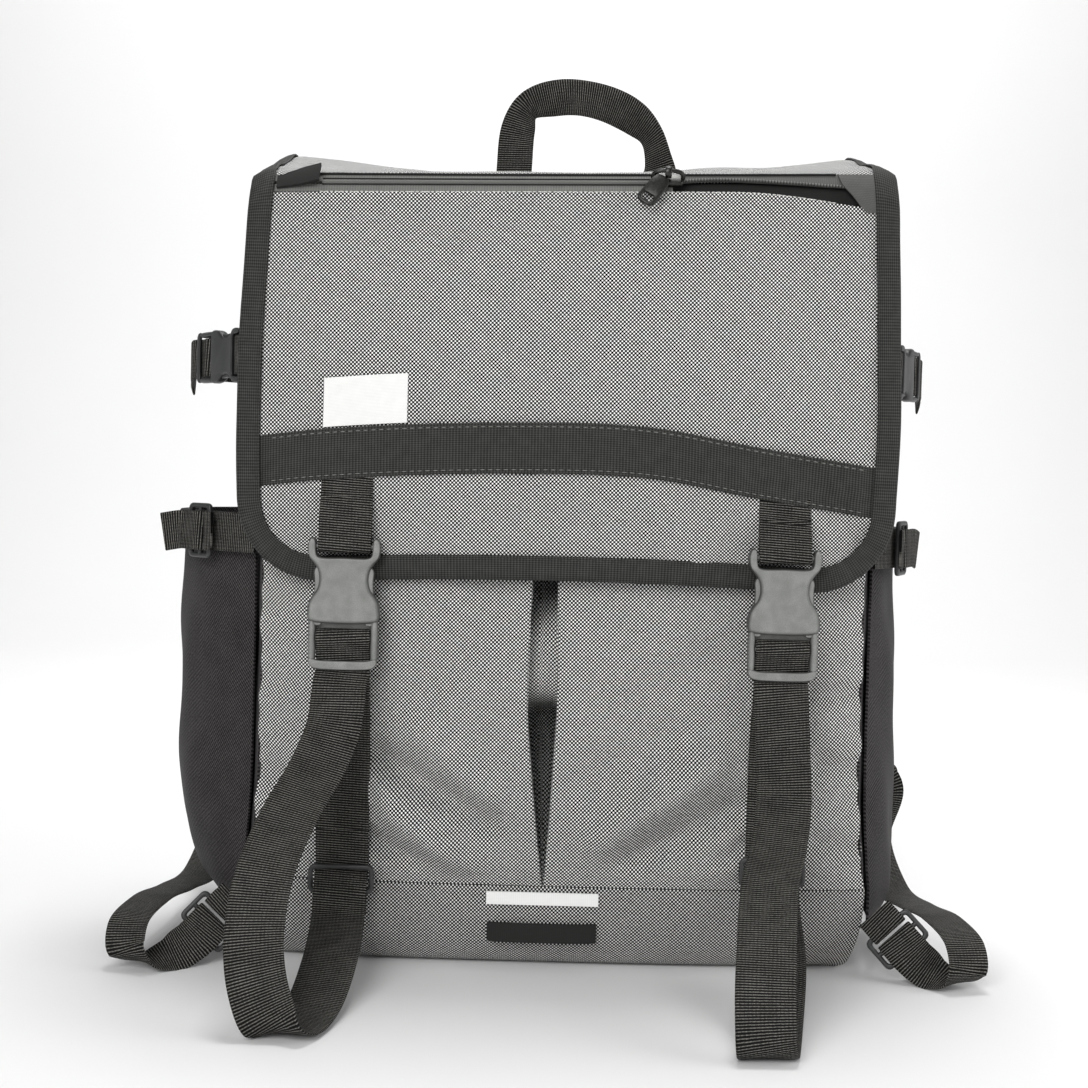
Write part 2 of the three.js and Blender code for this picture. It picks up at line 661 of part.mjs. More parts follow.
function addTray() {
  const loop = trayLoop();
  const ring = (inset, z) => loop.map(({ point, out }) => (
    new THREE.Vector3(point.x - out.x * inset, point.y - out.y * inset, z)
  ));
  const outer = [...TRAY_ROWS].reverse().map(({ z, inset }) => ring(inset, z));
  const inner = TRAY_ROWS.map(({ z, inset }) => ring(inset + CLOTH, z + CLOTH * (1 - z / BASE_SEAM_Z)));
  const rings = [...outer, ...inner];
  const size = loop.length;
  const triangles = [];
  rings.forEach((_, i) => {
    const [here, next] = [i * size, ((i + 1) % rings.length) * size];
    if (i === outer.length - 1) return;
    for (let j = 0; j < size; j++) {
      const k = (j + 1) % size;
      triangles.push(...quad(here + j, here + k, next + k, next + j));
    }
  });
  const points = rings.flat();
  const floorRing = (outer.length - 1) * size;
  const insideRing = outer.length * size;
  const middle = points.push(new THREE.Vector3(0, 0, 0)) - 1;
  const insideMiddle = points.push(new THREE.Vector3(0, 0, CLOTH)) - 1;
  for (let j = 0; j < size; j++) {
    const k = (j + 1) % size;
    triangles.push(floorRing + j, floorRing + k, middle);
    triangles.push(insideRing + k, insideRing + j, insideMiddle);
  }
  addPiece("bottom_panel", solidOf(points, triangles), GREY_CLOTH);
}

// The tray's front face at a height.
function trayY(x, z) {
  return WALLS.front(x / (SEAM_X + bodyAt("widen", 0)), 0)[1] + columnAt(TRAY_ROWS, "z", "inset", z);
}

// Side pockets; side is "left" or "right", and s runs from the front edge (-1) to the back edge (1).
const outwards = (side) => (side === "left" ? -1 : 1);

function pocketPoint(side, s, z) {
  const share = clamp01((z - BASE_SEAM_Z) / (rimZ(SEAM_X, 0) - BASE_SEAM_Z));
  const y = mix(FRONT_SEAM_Y + POCKET_EDGE, BACK_SEAM_Y - POCKET_EDGE, (s + 1) / 2);
  const wallShare = (2 * (y - FRONT_SEAM_Y)) / (BACK_SEAM_Y - FRONT_SEAM_Y) - 1;
  const clear = CLOTH + 4 * GAP;
  const rest = WALLS.right(wallShare, share)[0] + clear;
  const reach = columnAt(POCKET_ROWS, "z", side, z) - WALLS.right(0, share)[0] - clear;
  const bulge = Math.max(reach, 0) * roundedOff(s, POCKET_ROUNDING);
  return new THREE.Vector3(outwards(side) * (rest + bulge), y, z);
}

// A point off a pocket's face, measured square to it in plan.
function offPocket(side, s, z, lift) {
  const along = pocketPoint(side, s + 0.02, z).sub(pocketPoint(side, s - 0.02, z)).normalize();
  return pocketPoint(side, s, z).addScaledVector(along.cross(UPWARD), lift * outwards(side));
}

function pocketGrid(side, heights, columns) {
  const places = steps(columns, -1, 1);
  const ordered = side === "left" ? places.reverse() : places;
  return heights.map((z) => ordered.map((s) => pocketPoint(side, s, z)));
}

function addPockets() {
  const top = POCKET_ROWS[POCKET_ROWS.length - 1].z;
  for (const side of ["left", "right"]) {
    const heights = [...POCKET_ROWS.map((row) => row.z), 62, 120, 200].sort((a, b) => a - b);
    addPiece(`pocket_${side}`, clothWall(pocketGrid(side, heights, 8), CLOTH, 0), BLACK_CLOTH);
    const hem = pocketGrid(side, steps(1, top - POCKET_HEM, top), 8);
    const hemFaces = [GAP + BINDING_THICK, GAP].map((lift) => insetGrid(hem, -lift, 0));
    addPiece(`pocket_hem_${side}`, wallBetween(...hemFaces), BLACK_WEBBING);
  }
}

// Front closure
const BUCKLE_INNER_X = BUCKLE_X - BUCKLE.width / 2;
const BUCKLE_STAND_OFF = BINDING_THICK + BUCKLE.thick / 2 + 6 * GAP;
const buckleY = flapPoint(BUCKLE_INNER_X, hemRow(BUCKLE_INNER_X)).y - BUCKLE_STAND_OFF;

// Places of the bars that webbing turns round, up from the socket's mouth.
const SOCKET_BAR = { z: 44.8, half: 1.6 };
const PLUG_BAR = { z: -9.5, half: 1.5 };
const BAR_CLEARANCE = 0.75 + WEBBING_THICK / 2;

// The buckle's socket: ears round a bar at the top, a waist open at its sides, and a mouth at the bottom.
function socketGeometry() {
  const half = BUCKLE.width / 2;
  const outline = mirrored([
    [half, 0], [half, 4], [20.5, 13], [17, 17], [15.5, 21], [15.5, 30], [17.5, 35], [21, 40], [half, 45],
    [20, 49.5], [17.5, BUCKLE.socketHeight], [17, 46.5],
  ]);
  const body = plate(outline, BUCKLE.thick);
  const mouth = block(-18, 18, -2.6, 2.6, -1, 33);
  const overBar = block(-16.6, 16.6, -10, -SOCKET_BAR.half, 38.4, 60);
  const underBar = block(-16.6, 16.6, SOCKET_BAR.half, 10, 38.4, 60);
  return cut(body, slot(16.6, 38.4, SOCKET_BAR.z - SOCKET_BAR.half), mouth, overBar, underBar);
}

// The buckle's plug: two sprung prongs and a guide above a frame with an adjusting bar.
function plugGeometry() {
  const top = -GAP;
  const bottom = -BUCKLE.plugHeight;
  const frame = plate(mirrored([[18, bottom], [20, -22], [20, top]]), 7);
  const slots = [slot(16.8, -8, -3.6), slot(16.8, -22.6, -11)];
  const thinBar = [block(-16.8, 16.8, -9, -1.3, -13, -2.6), block(-16.8, 16.8, 1.3, 9, -13, -2.6)];
  const lowBar = block(-16.8, 16.8, -1, 9, -40, -11);
  const prongs = plate(mirrored([
    [17.4, -2], [17.4, 14], [16.4, 18], [17.2, 30], [14, 31.5], [12.6, 28], [13.2, 4], [4, 3], [4, 22],
  ]), 4.4);
  return join(cut(frame, ...slots, ...thinBar, lowBar), prongs);
}

// Webbing from under the flap's band round the bar in the socket's top.
function addBuckleTab(side, x) {
  const innerX = Math.abs(x) - WIDE_WEBBING / 2;
  const onFlap = (z, lift) => {
    const row = flapRowAt(innerX, z);
    return flapPoint(innerX, row).addScaledVector(flapNormal(0, row), lift).setX(x);
  };
  const barZ = SOCKET_BASE_Z + SOCKET_BAR.z;
  const start = bandZ(x) - BAND_HEIGHT / 2 - 4;
  const reach = SOCKET_BAR.half + BAR_CLEARANCE;
  const wrap = roundBar(reach).map(([below, outside]) => (
    new THREE.Vector3(x, buckleY - outside, barZ - below)
  ));
  const points = [
    onFlap(start, 1.4), onFlap(start - 10, 1.6), ...wrap, onFlap(start - 10, 4.4), onFlap(start, 3.8),
  ];
  addPiece(`buckle_tab_${side}`, webbing(points, flatBand, { width: TAB_WEBBING }), BLACK_WEBBING);
}

function addKeeper(side, x, z) {
  const { width, height, bar } = KEEPER;
  const innerX = Math.abs(x) - width / 2;
  const y = Math.min(frontY(innerX, z + height / 2), trayY(innerX, BASE_SEAM_Z)) - 5.4;
  const frame = plate(rectangle(width / 2, -height / 2, height / 2), bar);
  const ring = cut(frame, slot(width / 2 - bar, bar - height / 2, height / 2 - bar));
  addPiece(`strap_keeper_${side}`, ring, DARK_PLASTIC, 0.5).position.set(x, y, z);
  const barZ = z - height / 2 + bar / 2;
  const reach = bar / 2 + BAR_CLEARANCE + 0.2;
  const wrap = roundBar(reach).map(([above, outside]) => [y - outside, barZ + above]);
  const foot = Math.min(trayY(innerX, barZ - 12) - 2 * GAP - WEBBING_THICK / 2, y + reach);
  const points = [[foot, barZ - 14], [foot, barZ - 6], ...wrap, [y - reach, barZ - 9]];
  const path = points.map(([pointY, pointZ]) => new THREE.Vector3(x, pointY, pointZ));
  const tab = webbing(path, flatBand, { width: TAB_WEBBING });
  addPiece(`keeper_tab_${side}`, tab, BLACK_WEBBING);
  return y;
}

// One front strap: up from the keeper behind the buckle, over its bar, out to the floor and into the keeper.
function addFrontStrap(side, x, keeperZ, keeperY, rows) {
  const barZ = SOCKET_BASE_Z + PLUG_BAR.z;
  const innerX = Math.abs(x) - WIDE_WEBBING / 2;
  const upRun = [30, 75].map((rise) => {
    const z = keeperZ + rise;
    return { y: Math.min(frontY(innerX, z) - WEBBING_THICK, keeperY + 3.2), z };
  });
  const reach = PLUG_BAR.half + BAR_CLEARANCE;
  const wrap = roundBar(reach).map(([above, outside]) => ({ y: buckleY - outside, z: barZ + above }));
  const overBar = [
    { y: buckleY + 3, z: barZ - 24 }, { y: buckleY + 2.9, z: barZ - 10 }, ...wrap,
    { y: buckleY + 0.5, z: barZ - 9 }, { y: buckleY + 0.6, z: barZ - 19 },
  ];
  const intoKeeper = [
    { y: keeperY - 8.5, z: keeperZ - 17 }, { y: keeperY - 5.4, z: keeperZ - 6 },
    { y: keeperY - 0.2, z: keeperZ + 0.6 }, { y: keeperY + 3.2, z: keeperZ + 6 },
  ];
  const straight = (row) => ({ ...row, x, turn: 0 });
  const path = [...[...upRun, ...overBar].map(straight), ...rows, ...intoKeeper.map(straight)];
  const widths = widthBetween([...path, path[0]].map(widthOf));
  const band = { width: WIDE_WEBBING, closed: true };
  addPiece(`front_strap_${side}`, webbing(path.map(pointOf), widths, band), BLACK_WEBBING);
}

function addClosure() {
  for (const [side, x, z, rows] of [
    ["left", -BUCKLE_X, KEEPER.leftZ, LEFT_STRAP_ROWS], ["right", BUCKLE_X, KEEPER.rightZ, RIGHT_STRAP_ROWS],
  ]) {
    addBuckleTab(side, x);
    const socket = addPiece(`buckle_socket_${side}`, socketGeometry(), DARK_PLASTIC, 0.5);
    const plug = addPiece(`buckle_plug_${side}`, plugGeometry(), DARK_PLASTIC, 0.5);
    [socket, plug].forEach((half) => half.position.set(x, buckleY, SOCKET_BASE_Z));
    const keeperY = addKeeper(side, x, z);
    addFrontStrap(side, x, z, keeperY, rows);
  }
}

// Two narrow tapes sewn across the tray's front.
function addFrontTapes() {
  const tape = (z, half, width, lift) => {
    const points = steps(6, -half, half).map((x) => {
      const bow = lift * roundedOff(x / half, 4);
      return new THREE.Vector3(x + PLEAT_X, trayY(x + PLEAT_X, z) - GAP * 2 - WEBBING_THICK / 2 - bow, z);
    });
    return webbing(points, uprightBand, { width, split: 1 });
  };
  addPiece("reflective_tab", tape(45, 34, 8, 0), PALE_TAPE, 0.4);
  addPiece("light_loop", tape(24, 33, 12, 3), BLACK_WEBBING);
}

// Side straps
function addUpperStrap(side) {
  const sign = outwards(side);
  const out = UPPER_STRAP_OUT[side];
  const at = (x, y, z = UPPER_STRAP_Z) => new THREE.Vector3(sign * x, y, z);
  const start = at(SEAM_X + 17, -64);
  const end = at(out - 4, -13);
  const along = end.clone().sub(start).normalize();
  const buckle = new THREE.Group();
  const face = along.clone().cross(UPWARD).multiplyScalar(sign).normalize();
  buckle.quaternion.setFromRotationMatrix(new THREE.Matrix4().makeBasis(
    UPWARD.clone().multiplyScalar(sign), face.clone().negate(), along.clone().negate(),
  ));
  const mouth = start.clone().addScaledVector(along, BUCKLE.socketHeight * SIDE_BUCKLE_SCALE);
  for (const [name, geometry] of [["side_socket", socketGeometry()], ["side_plug", plugGeometry()]]) {
    const half = new THREE.Mesh(geometry.scale(SIDE_BUCKLE_SCALE, SIDE_BUCKLE_SCALE, SIDE_BUCKLE_SCALE));
    half.name = `${name}_${side}`;
    half.material = new THREE.MeshStandardMaterial({ color: DARK_PLASTIC, roughness: 0.5, metalness: 0 });
    buckle.add(half);
  }
  buckle.position.copy(mouth);
  bag.add(buckle);

  const aside = (point, forward, outside) => (
    point.clone().addScaledVector(along, forward).addScaledVector(face, outside)
  );
  const wrapped = (bar, half, turn) => {
    const reach = half * SIDE_BUCKLE_SCALE + BAR_CLEARANCE;
    return roundBar(reach).map(([forward, outside]) => aside(bar, turn * forward, outside));
  };
  const band = { width: SIDE_WEBBING };
  const socketBar = mouth.clone().addScaledVector(along, -SOCKET_BAR.z * SIDE_BUCKLE_SCALE);
  const frontPoints = [
    aside(socketBar, -9, -2.8), aside(socketBar, -4, -2.9), ...wrapped(socketBar, SOCKET_BAR.half, 1),
    aside(socketBar, -6, 2.6), at(SEAM_X + 5, -76),
  ];
  addPiece(`upper_strap_front_${side}`, webbing(frontPoints, uprightBand, band), BLACK_WEBBING);

  const plugBar = mouth.clone().addScaledVector(along, -PLUG_BAR.z * SIDE_BUCKLE_SCALE);
  const plugEnd = BUCKLE.plugHeight * SIDE_BUCKLE_SCALE;
  const backPoints = [
    at(BACK_SEAM_X + 8, BACK_SEAM_Y - 2), at(BACK_SEAM_X + 24, 70), at(mix(SEAM_X, out, 0.82), 42),
    at(out, 12), aside(mouth, plugEnd + 3, -3), aside(mouth, plugEnd - 5, -2.8),
    ...wrapped(plugBar, PLUG_BAR.half, -1),
    aside(plugBar, 7, 0), aside(mouth, plugEnd, -0.6), aside(mouth, plugEnd + 7, 1.2),
    at(out + 5, 12, UPPER_STRAP_Z - 4), at(out + 6, 26, UPPER_STRAP_Z - 12),
  ];
  addPiece(`upper_strap_back_${side}`, webbing(backPoints, uprightBand, band), BLACK_WEBBING);
}

// The ladder-shaped slider on a lower side strap: a frame with a middle bar.
function sliderGeometry({ width, length, bar, thick }) {
  const half = length / 2;
  const inside = width / 2 - bar;
  const frame = plate(rectangle(width / 2, -half, half), thick);
  return cut(frame, slot(inside, bar - half, -bar / 2), slot(inside, bar / 2, half - bar));
}

function addLowerStrap(side) {
  const sign = outwards(side);
  const onPocket = (s, lift = 3.4) => offPocket(side, s, LOWER_STRAP_Z, lift);
  const sliderAt = onPocket(-0.72, 7.6);
  const along = onPocket(-0.55).sub(onPocket(-0.85)).normalize();
  const face = along.clone().cross(UPWARD).multiplyScalar(sign).normalize();
  const slider = addPiece(`lower_slider_${side}`, sliderGeometry(SIDE_SLIDER), DARK_PLASTIC, 0.5);
  slider.quaternion.setFromRotationMatrix(new THREE.Matrix4().makeBasis(
    UPWARD.clone().multiplyScalar(sign), face.clone().negate(), along.clone().negate(),
  ));
  slider.position.copy(sliderAt);
  const aside = (forward, outside) => (
    sliderAt.clone().addScaledVector(along, forward).addScaledVector(face, outside)
  );
  const reach = SIDE_SLIDER.bar / 2 + BAR_CLEARANCE + 0.2;
  const endBar = (SIDE_SLIDER.length - SIDE_SLIDER.bar) / 2;
  const wrapped = (bar, turn) => roundBar(reach).map(([forward, outside]) => (
    aside(bar + turn * forward, outside)
  ));
  const seam = new THREE.Vector3(sign * (SEAM_X + 4), FRONT_SEAM_Y - 4, LOWER_STRAP_Z);
  const band = { width: SIDE_WEBBING };
  const frontPoints = [seam, aside(-endBar - 8, -reach), ...wrapped(-endBar, 1), aside(-endBar - 6, reach)];
  addPiece(`lower_strap_front_${side}`, webbing(frontPoints, uprightBand, band), BLACK_WEBBING);
  const backSeam = new THREE.Vector3(sign * (BACK_SEAM_X + 8), BACK_SEAM_Y + 1, LOWER_STRAP_Z);
  const { length, out, drop } = LOWER_TAIL[side];
  const tailEnd = aside(endBar + length, out).addScaledVector(UPWARD, -drop);
  const backPoints = [
    backSeam, ...[0.86, 0.5, 0.1, -0.3].map((s) => onPocket(s)), aside(endBar + 4, -reach), ...wrapped(0, -1),
    aside(endBar, reach), aside(endBar + 6, reach + 1), tailEnd,
  ];
  addPiece(`lower_strap_back_${side}`, webbing(backPoints, uprightBand, band), BLACK_WEBBING);
}

// Carrying
function addHandle() {
  const curve = new THREE.CatmullRomCurve3(HANDLE_ROWS.map(pointOf), false, "centripetal");
  const keyed = HANDLE_ROWS.map(({ twist }, i) => ({ i, twist }));
  const widthAt = (share) => {
    const along = curve.getTangent(share);
    const twist = columnAt(keyed, "i", "twist", share * (HANDLE_ROWS.length - 1));
    return along.clone().cross(BACKWARD).applyAxisAngle(along, THREE.MathUtils.degToRad(twist));
  };
  const band = { width: NARROW_WEBBING, thick: HANDLE_THICK };
  addPiece("handle", webbing(HANDLE_ROWS.map(pointOf), widthAt, band), BLACK_WEBBING);
}

function addShoulderPad(side) {
  const sign = outwards(side);
  const curve = new THREE.CatmullRomCurve3(PAD_ROWS.map((row) => pointOf({ ...row, x: sign * row.x })));
  const keyed = PAD_ROWS.map(({ width }, i) => ({ i, width }));
  const half = PAD_THICK / 2;
  const sections = steps(14).map((share) => {
    const middle = curve.getPoint(share);
    const along = curve.getTangent(share);
    const across = along.clone().cross(BACKWARD).normalize();
    const out = across.clone().cross(along).normalize();
    const reach = columnAt(keyed, "i", "width", share * (PAD_ROWS.length - 1)) / 2;
    const flank = half - PAD_EDGE;
    const face = reach - PAD_EDGE;
    const outline = [
      [reach, -flank], [reach, flank], [face, half], [-face, half],
      [-reach, flank], [-reach, -flank], [-face, -half], [face, -half],
    ];
    return outline.map(([a, b]) => middle.clone().addScaledVector(across, a).addScaledVector(out, b));
  });
  const flat = steps(7).map((share) => new THREE.Vector2(Math.cos(share * 5.5), Math.sin(share * 5.5)));
  addPiece(`shoulder_pad_${side}`, loft(sections, flat), BLACK_CLOTH);
}

// The adjuster at the bag's lower corner, the tab that holds it, and the webbing from the pad through it.
function addShoulderWebbing(side) {
  const sign = outwards(side);
  const { x, y, z, length, bar } = ADJUSTER;
  const along = new THREE.Vector3(sign * 0.66, -0.3, -0.69).normalize();
  const across = new THREE.Vector3(sign * 0.72, 0, 0.69).cross(along).cross(along).negate().normalize();
  const face = across.clone().cross(along).multiplyScalar(sign).normalize();
  const frame = addPiece(`shoulder_adjuster_${side}`, sliderGeometry(ADJUSTER), DARK_PLASTIC, 0.5);
  frame.quaternion.setFromRotationMatrix(new THREE.Matrix4().makeBasis(
    across.clone().multiplyScalar(sign), face.clone().negate(), along,
  ));
  frame.position.set(sign * x, y, z);
  const aside = (forward, outside) => (
    frame.position.clone().addScaledVector(along, forward).addScaledVector(face, outside)
  );
  const reach = bar / 2 + BAR_CLEARANCE + 0.2;
  const endBar = (length - bar) / 2;
  const wrapped = (place, turn) => roundBar(reach).map(([forward, outside]) => (
    aside(place + turn * forward, outside)
  ));

  const tabPoints = [
    aside(-endBar - 11, -1.6), aside(-endBar - 5, -reach), ...wrapped(-endBar, 1), aside(-endBar - 6, reach),
  ];
  const tab = webbing(tabPoints, () => across, { width: SIDE_WEBBING });
  addPiece(`adjuster_tab_${side}`, tab, BLACK_WEBBING);

  const shift = side === "left" ? LEFT_LOOP_SHIFT : 0;
  const sideways = new THREE.Vector3(sign, 1, 1);
  const loop = LOOP_ROWS.map((row, i) => {
    const moved = shift * smoothStep(0, 2, i) * (1 - smoothStep(6, LOOP_ROWS.length, i));
    return pointOf({ ...row, x: row.x + moved }).multiply(sideways);
  });
  const threaded = [
    aside(endBar + 4, -reach - 1), ...wrapped(0, -1), aside(endBar, reach), aside(endBar + 9, reach + 3),
  ];
  const widths = [...LOOP_ROWS.map((row) => widthOf(row).multiply(sideways)), ...threaded.map(() => across)];
  const band = webbing([...loop, ...threaded], widthBetween(widths), { width: NARROW_WEBBING });
  addPiece(`shoulder_webbing_${side}`, band, BLACK_WEBBING);
}

// Zip slider and its pull, built about the zip's middle: local Y up the slope, local Z out from the tape.
function addZipPull() {
  const row = mix(ZIP_START_ROW, ZIP_END_ROW, 0.48);
  const normal = flapNormal(SLIDER_X, row);
  const place = new THREE.Matrix4().makeBasis(RIGHTWARD, normal.clone().cross(RIGHTWARD), normal);
  place.setPosition(flapPoint(SLIDER_X, row).addScaledVector(normal, GAP));
  const crownZ = 7.4;
  const wire = 1.3;
  const body = block(-9.5, 9.5, -5.5, 5.5, 0, 3);
  const posts = [-7.8, 7.8].map((x) => block(x - 1.5, x + 1.5, -wire, wire, 2, crownZ + wire));
  const bar = block(-7, 7, -wire, wire, crownZ - wire, crownZ + wire);
  const slider = addPiece("zip_slider", join(body, ...posts, bar), STEEL, 0.4, 1);
  slider.applyMatrix4(place);

  const ringShape = new THREE.Shape().absarc(0, 0, 4.2, 0, 2 * Math.PI);
  ringShape.holes = [new THREE.Path().absarc(0, 0, 2.4, 0, 2 * Math.PI)];
  const knuckle = new THREE.ExtrudeGeometry(ringShape, { depth: 5, bevelEnabled: false, curveSegments: 8 });
  knuckle.translate(0, 0, -2.5).rotateY(Math.PI / 2);
  const tab = plate(mirrored([[3, -25.5], [5, -23], [5, -11.5], [1.6, -8.5], [1.6, -3.9]]), 2.4);
  tab.rotateY(PULL_SKEW).rotateX(-PULL_LEAN);
  const pull = addPiece("zip_pull", join(knuckle, tab), STEEL, 0.4, 1);
  pull.position.set(0, 0, crownZ).applyMatrix4(place);
}

addTray();
addBody();
addPockets();
addFlap();
addBinding();
addBandAndLabel();
addClosure();
addFrontTapes();
addHandle();
addZipPull();
for (const side of ["left", "right"]) {
  addUpperStrap(side);
  addLowerStrap(side);
  addShoulderPad(side);
  addShoulderWebbing(side);
}

export default bag;
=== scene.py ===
"""Dresses the flap-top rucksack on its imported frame: cloth, webbing, moulded buckles and a metal zip."""

import logging
import math
from collections.abc import Callable, Iterable, Mapping, Sequence
from dataclasses import dataclass, field
from enum import Enum

import bpy
import numpy as np
from mathutils import Matrix, Vector


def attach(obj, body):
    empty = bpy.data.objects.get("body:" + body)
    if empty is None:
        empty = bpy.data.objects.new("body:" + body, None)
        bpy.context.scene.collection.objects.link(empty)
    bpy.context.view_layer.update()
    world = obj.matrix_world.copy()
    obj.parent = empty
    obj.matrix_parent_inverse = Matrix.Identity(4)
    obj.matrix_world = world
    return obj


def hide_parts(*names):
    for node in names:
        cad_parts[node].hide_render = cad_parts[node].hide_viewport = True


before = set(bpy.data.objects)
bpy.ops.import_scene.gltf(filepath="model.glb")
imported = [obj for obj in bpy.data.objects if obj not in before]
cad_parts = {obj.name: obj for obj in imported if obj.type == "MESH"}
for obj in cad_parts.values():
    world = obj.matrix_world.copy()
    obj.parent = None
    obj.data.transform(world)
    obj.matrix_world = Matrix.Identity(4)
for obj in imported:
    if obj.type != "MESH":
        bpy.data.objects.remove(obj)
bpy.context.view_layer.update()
LOG = logging.getLogger("rucksack")

MM = 0.001
GAP = 0.4
CLOTH = 1.8
BAG = "bag"

Floats = np.ndarray
Colour = tuple[float, float, float]
WidthRule = Callable[[Floats, Floats], Floats]

RIGHTWARD = np.array([1.0, 0.0, 0.0])
BACKWARD = np.array([0.0, 1.0, 0.0])
UPWARD = np.array([0.0, 0.0, 1.0])


class Side(Enum):
    """The two flanks of the bag, by the sign of X."""

    LEFT = -1
    RIGHT = 1

    @property
    def word(self) -> str:
        """The side's name as the frame's nodes spell it."""
        return self.name.lower()


class Slot(Enum):
    """The record's material slots."""

    GREY_CLOTH = "grey_cloth"
    BLACK_CLOTH = "black_cloth"
    BLACK_WEBBING = "black_webbing"
    PALE_TAPE = "pale_tape"
    WHITE_LABEL = "white_label"
    DARK_PLASTIC = "dark_plastic"
    STEEL = "steel"


def unit(vectors: Floats) -> Floats:
    """Vectors scaled to length one."""
    return vectors / np.maximum(np.linalg.norm(vectors, axis=-1, keepdims=True), 1e-12)


def mix(start: Floats | float, end: Floats | float, share: Floats | float) -> Floats | float:
    """A value between two others."""
    return start + (end - start) * share


def smooth_step(start: float, end: float, value: Floats | float) -> Floats:
    """A rise from 0 to 1 with level ends.

    Args:
        start: Where the rise begins.
        end: Where it is complete.
        value: Places to read it at.

    Returns:
        The rise at each place.
    """
    share = np.clip((np.asarray(value, float) - start) / (end - start), 0, 1)
    return share * share * (3 - 2 * share)


def linear(red: int, green: int, blue: int) -> Colour:
    """A screen colour from 0 to 255 as the linear values that shaders use."""

    def one(value: int) -> float:
        """One channel."""
        share = value / 255
        return share / 12.92 if share <= 0.04045 else ((share + 0.055) / 1.055) ** 2.4

    return one(red), one(green), one(blue)


class Table:
    """Smooth curves through the rows of a short table."""

    def __init__(self, keys: Sequence[float], **columns: Sequence[float]) -> None:
        """Keeps the rows.

        Args:
            keys: The rising key column.
            columns: The other columns, by name.
        """
        self.keys = np.array(keys, float)
        self.columns = {name: np.array(values, float) for name, values in columns.items()}

    def at(self, column: str, place: Floats | float) -> Floats:
        """Reads a column.

        Args:
            column: Its name.
            place: Places along the key column.

        Returns:
            The column's value at each place, held level past both ends.
        """
        keys = self.keys
        values = self.columns[column]
        last = len(keys) - 1
        spot = np.clip(np.asarray(place, float), keys[0], keys[-1])
        low = np.clip(np.searchsorted(keys, spot, side="right") - 1, 0, last - 1)
        before = np.maximum(low - 1, 0)
        after = np.minimum(low + 2, last)
        span = keys[low + 1] - keys[low]
        t = (spot - keys[low]) / span
        start = (values[low + 1] - values[before]) / (keys[low + 1] - keys[before]) * span
        end = (values[after] - values[low]) / (keys[after] - keys[low]) * span
        rise = values[low + 1] - values[low]
        return values[low] + t * (start + t * (3 * rise - 2 * start - end + t * (start + end - 2 * rise)))


class SmoothPath:
    """A centripetal curve through points, read by its share of the spans between them."""

    def __init__(self, points: Sequence[Sequence[float]] | Floats, closed: bool = False) -> None:
        """Keeps the points.

        Args:
            points: What the curve passes through.
            closed: Whether it returns to its first point.
        """
        self.points = np.array(points, float)
        self.closed = closed
        self.spans = len(self.points) - (0 if closed else 1)

    def at(self, share: Floats | float) -> Floats:
        """Points on the curve.

        Args:
            share: Places from 0 to 1.

        Returns:
            One point for each place.
        """
        points = self.points
        count = len(points)
        place = np.clip(np.asarray(share, float), 0, 1) * self.spans
        low = np.minimum(np.floor(place).astype(int), self.spans - 1)
        t = (place - low)[..., None]
        if self.closed:
            p0, p1, p2, p3 = (points[(low + step) % count] for step in (-1, 0, 1, 2))
        else:
            ahead = 2 * points[0] - points[1]
            beyond = 2 * points[-1] - points[-2]
            padded = np.vstack([ahead, points, beyond])
            p0, p1, p2, p3 = (padded[low + step] for step in (0, 1, 2, 3))
        pairs = ((p0, p1), (p1, p2), (p2, p3))
        gaps = [np.sqrt(np.linalg.norm(b - a, axis=-1, keepdims=True)) for a, b in pairs]
        g1 = np.where(gaps[1] < 1e-4, 1.0, gaps[1])
        g0 = np.where(gaps[0] < 1e-4, g1, gaps[0])
        g2 = np.where(gaps[2] < 1e-4, g1, gaps[2])
        start = ((p1 - p0) / g0 - (p2 - p0) / (g0 + g1) + (p2 - p1) / g1) * g1
        end = ((p2 - p1) / g1 - (p3 - p1) / (g1 + g2) + (p3 - p2) / g2) * g1
        rise = p2 - p1
        return p1 + t * (start + t * (3 * rise - 2 * start - end + t * (start + end - 2 * rise)))

    def along(self, share: Floats | float) -> Floats:
        """Directions of travel at places from 0 to 1."""
        nudge = 1e-4
        spot = np.asarray(share, float)
        if self.closed:
            return unit(self.at((spot + nudge) % 1) - self.at((spot - nudge) % 1))
        return unit(self.at(np.minimum(spot + nudge, 1)) - self.at(np.maximum(spot - nudge, 0)))

    def places(self, step: float) -> Floats:
        """Shares that cut every span into pieces of about one length.

        Args:
            step: That length.

        Returns:
            Rising shares; a closed path leaves out its last one.
        """
        ends = self.at(np.linspace(0, 1, self.spans + 1))
        shares = []
        for i in range(self.spans):
            length = np.linalg.norm(ends[i + 1] - ends[i])
            pieces = max(2, math.ceil(length / step))
            shares.extend((i + k / pieces) / self.spans for k in range(pieces))
        return np.array(shares if self.closed else [*shares, 1.0])


@dataclass(frozen=True)
class Fold:
    """A soft ridge (positive height) or valley (negative) along a straight line on a wall."""

    start: tuple[float, float]
    end: tuple[float, float]
    height: float
    width: float

    def at(self, across: Floats, up: Floats) -> Floats:
        """Height of the fold.

        Args:
            across: Places across the wall.
            up: Places up the wall.

        Returns:
            How far the cloth stands out at each place.
        """
        first = np.array(self.start)
        run = np.array(self.end) - first
        length = max(float(run @ run), 1e-6)
        share = np.clip(((across - first[0]) * run[0] + (up - first[1]) * run[1]) / length, 0, 1)
        off = np.hypot(across - first[0] - share * run[0], up - first[1] - share * run[1])
        return self.height * np.exp(-((off / self.width) ** 2))


def folded(folds: Iterable[Fold], across: Floats, up: Floats) -> Floats:
    """All folds of a wall added up."""
    return sum((fold.at(across, up) for fold in folds), np.zeros(np.broadcast(across, up).shape))


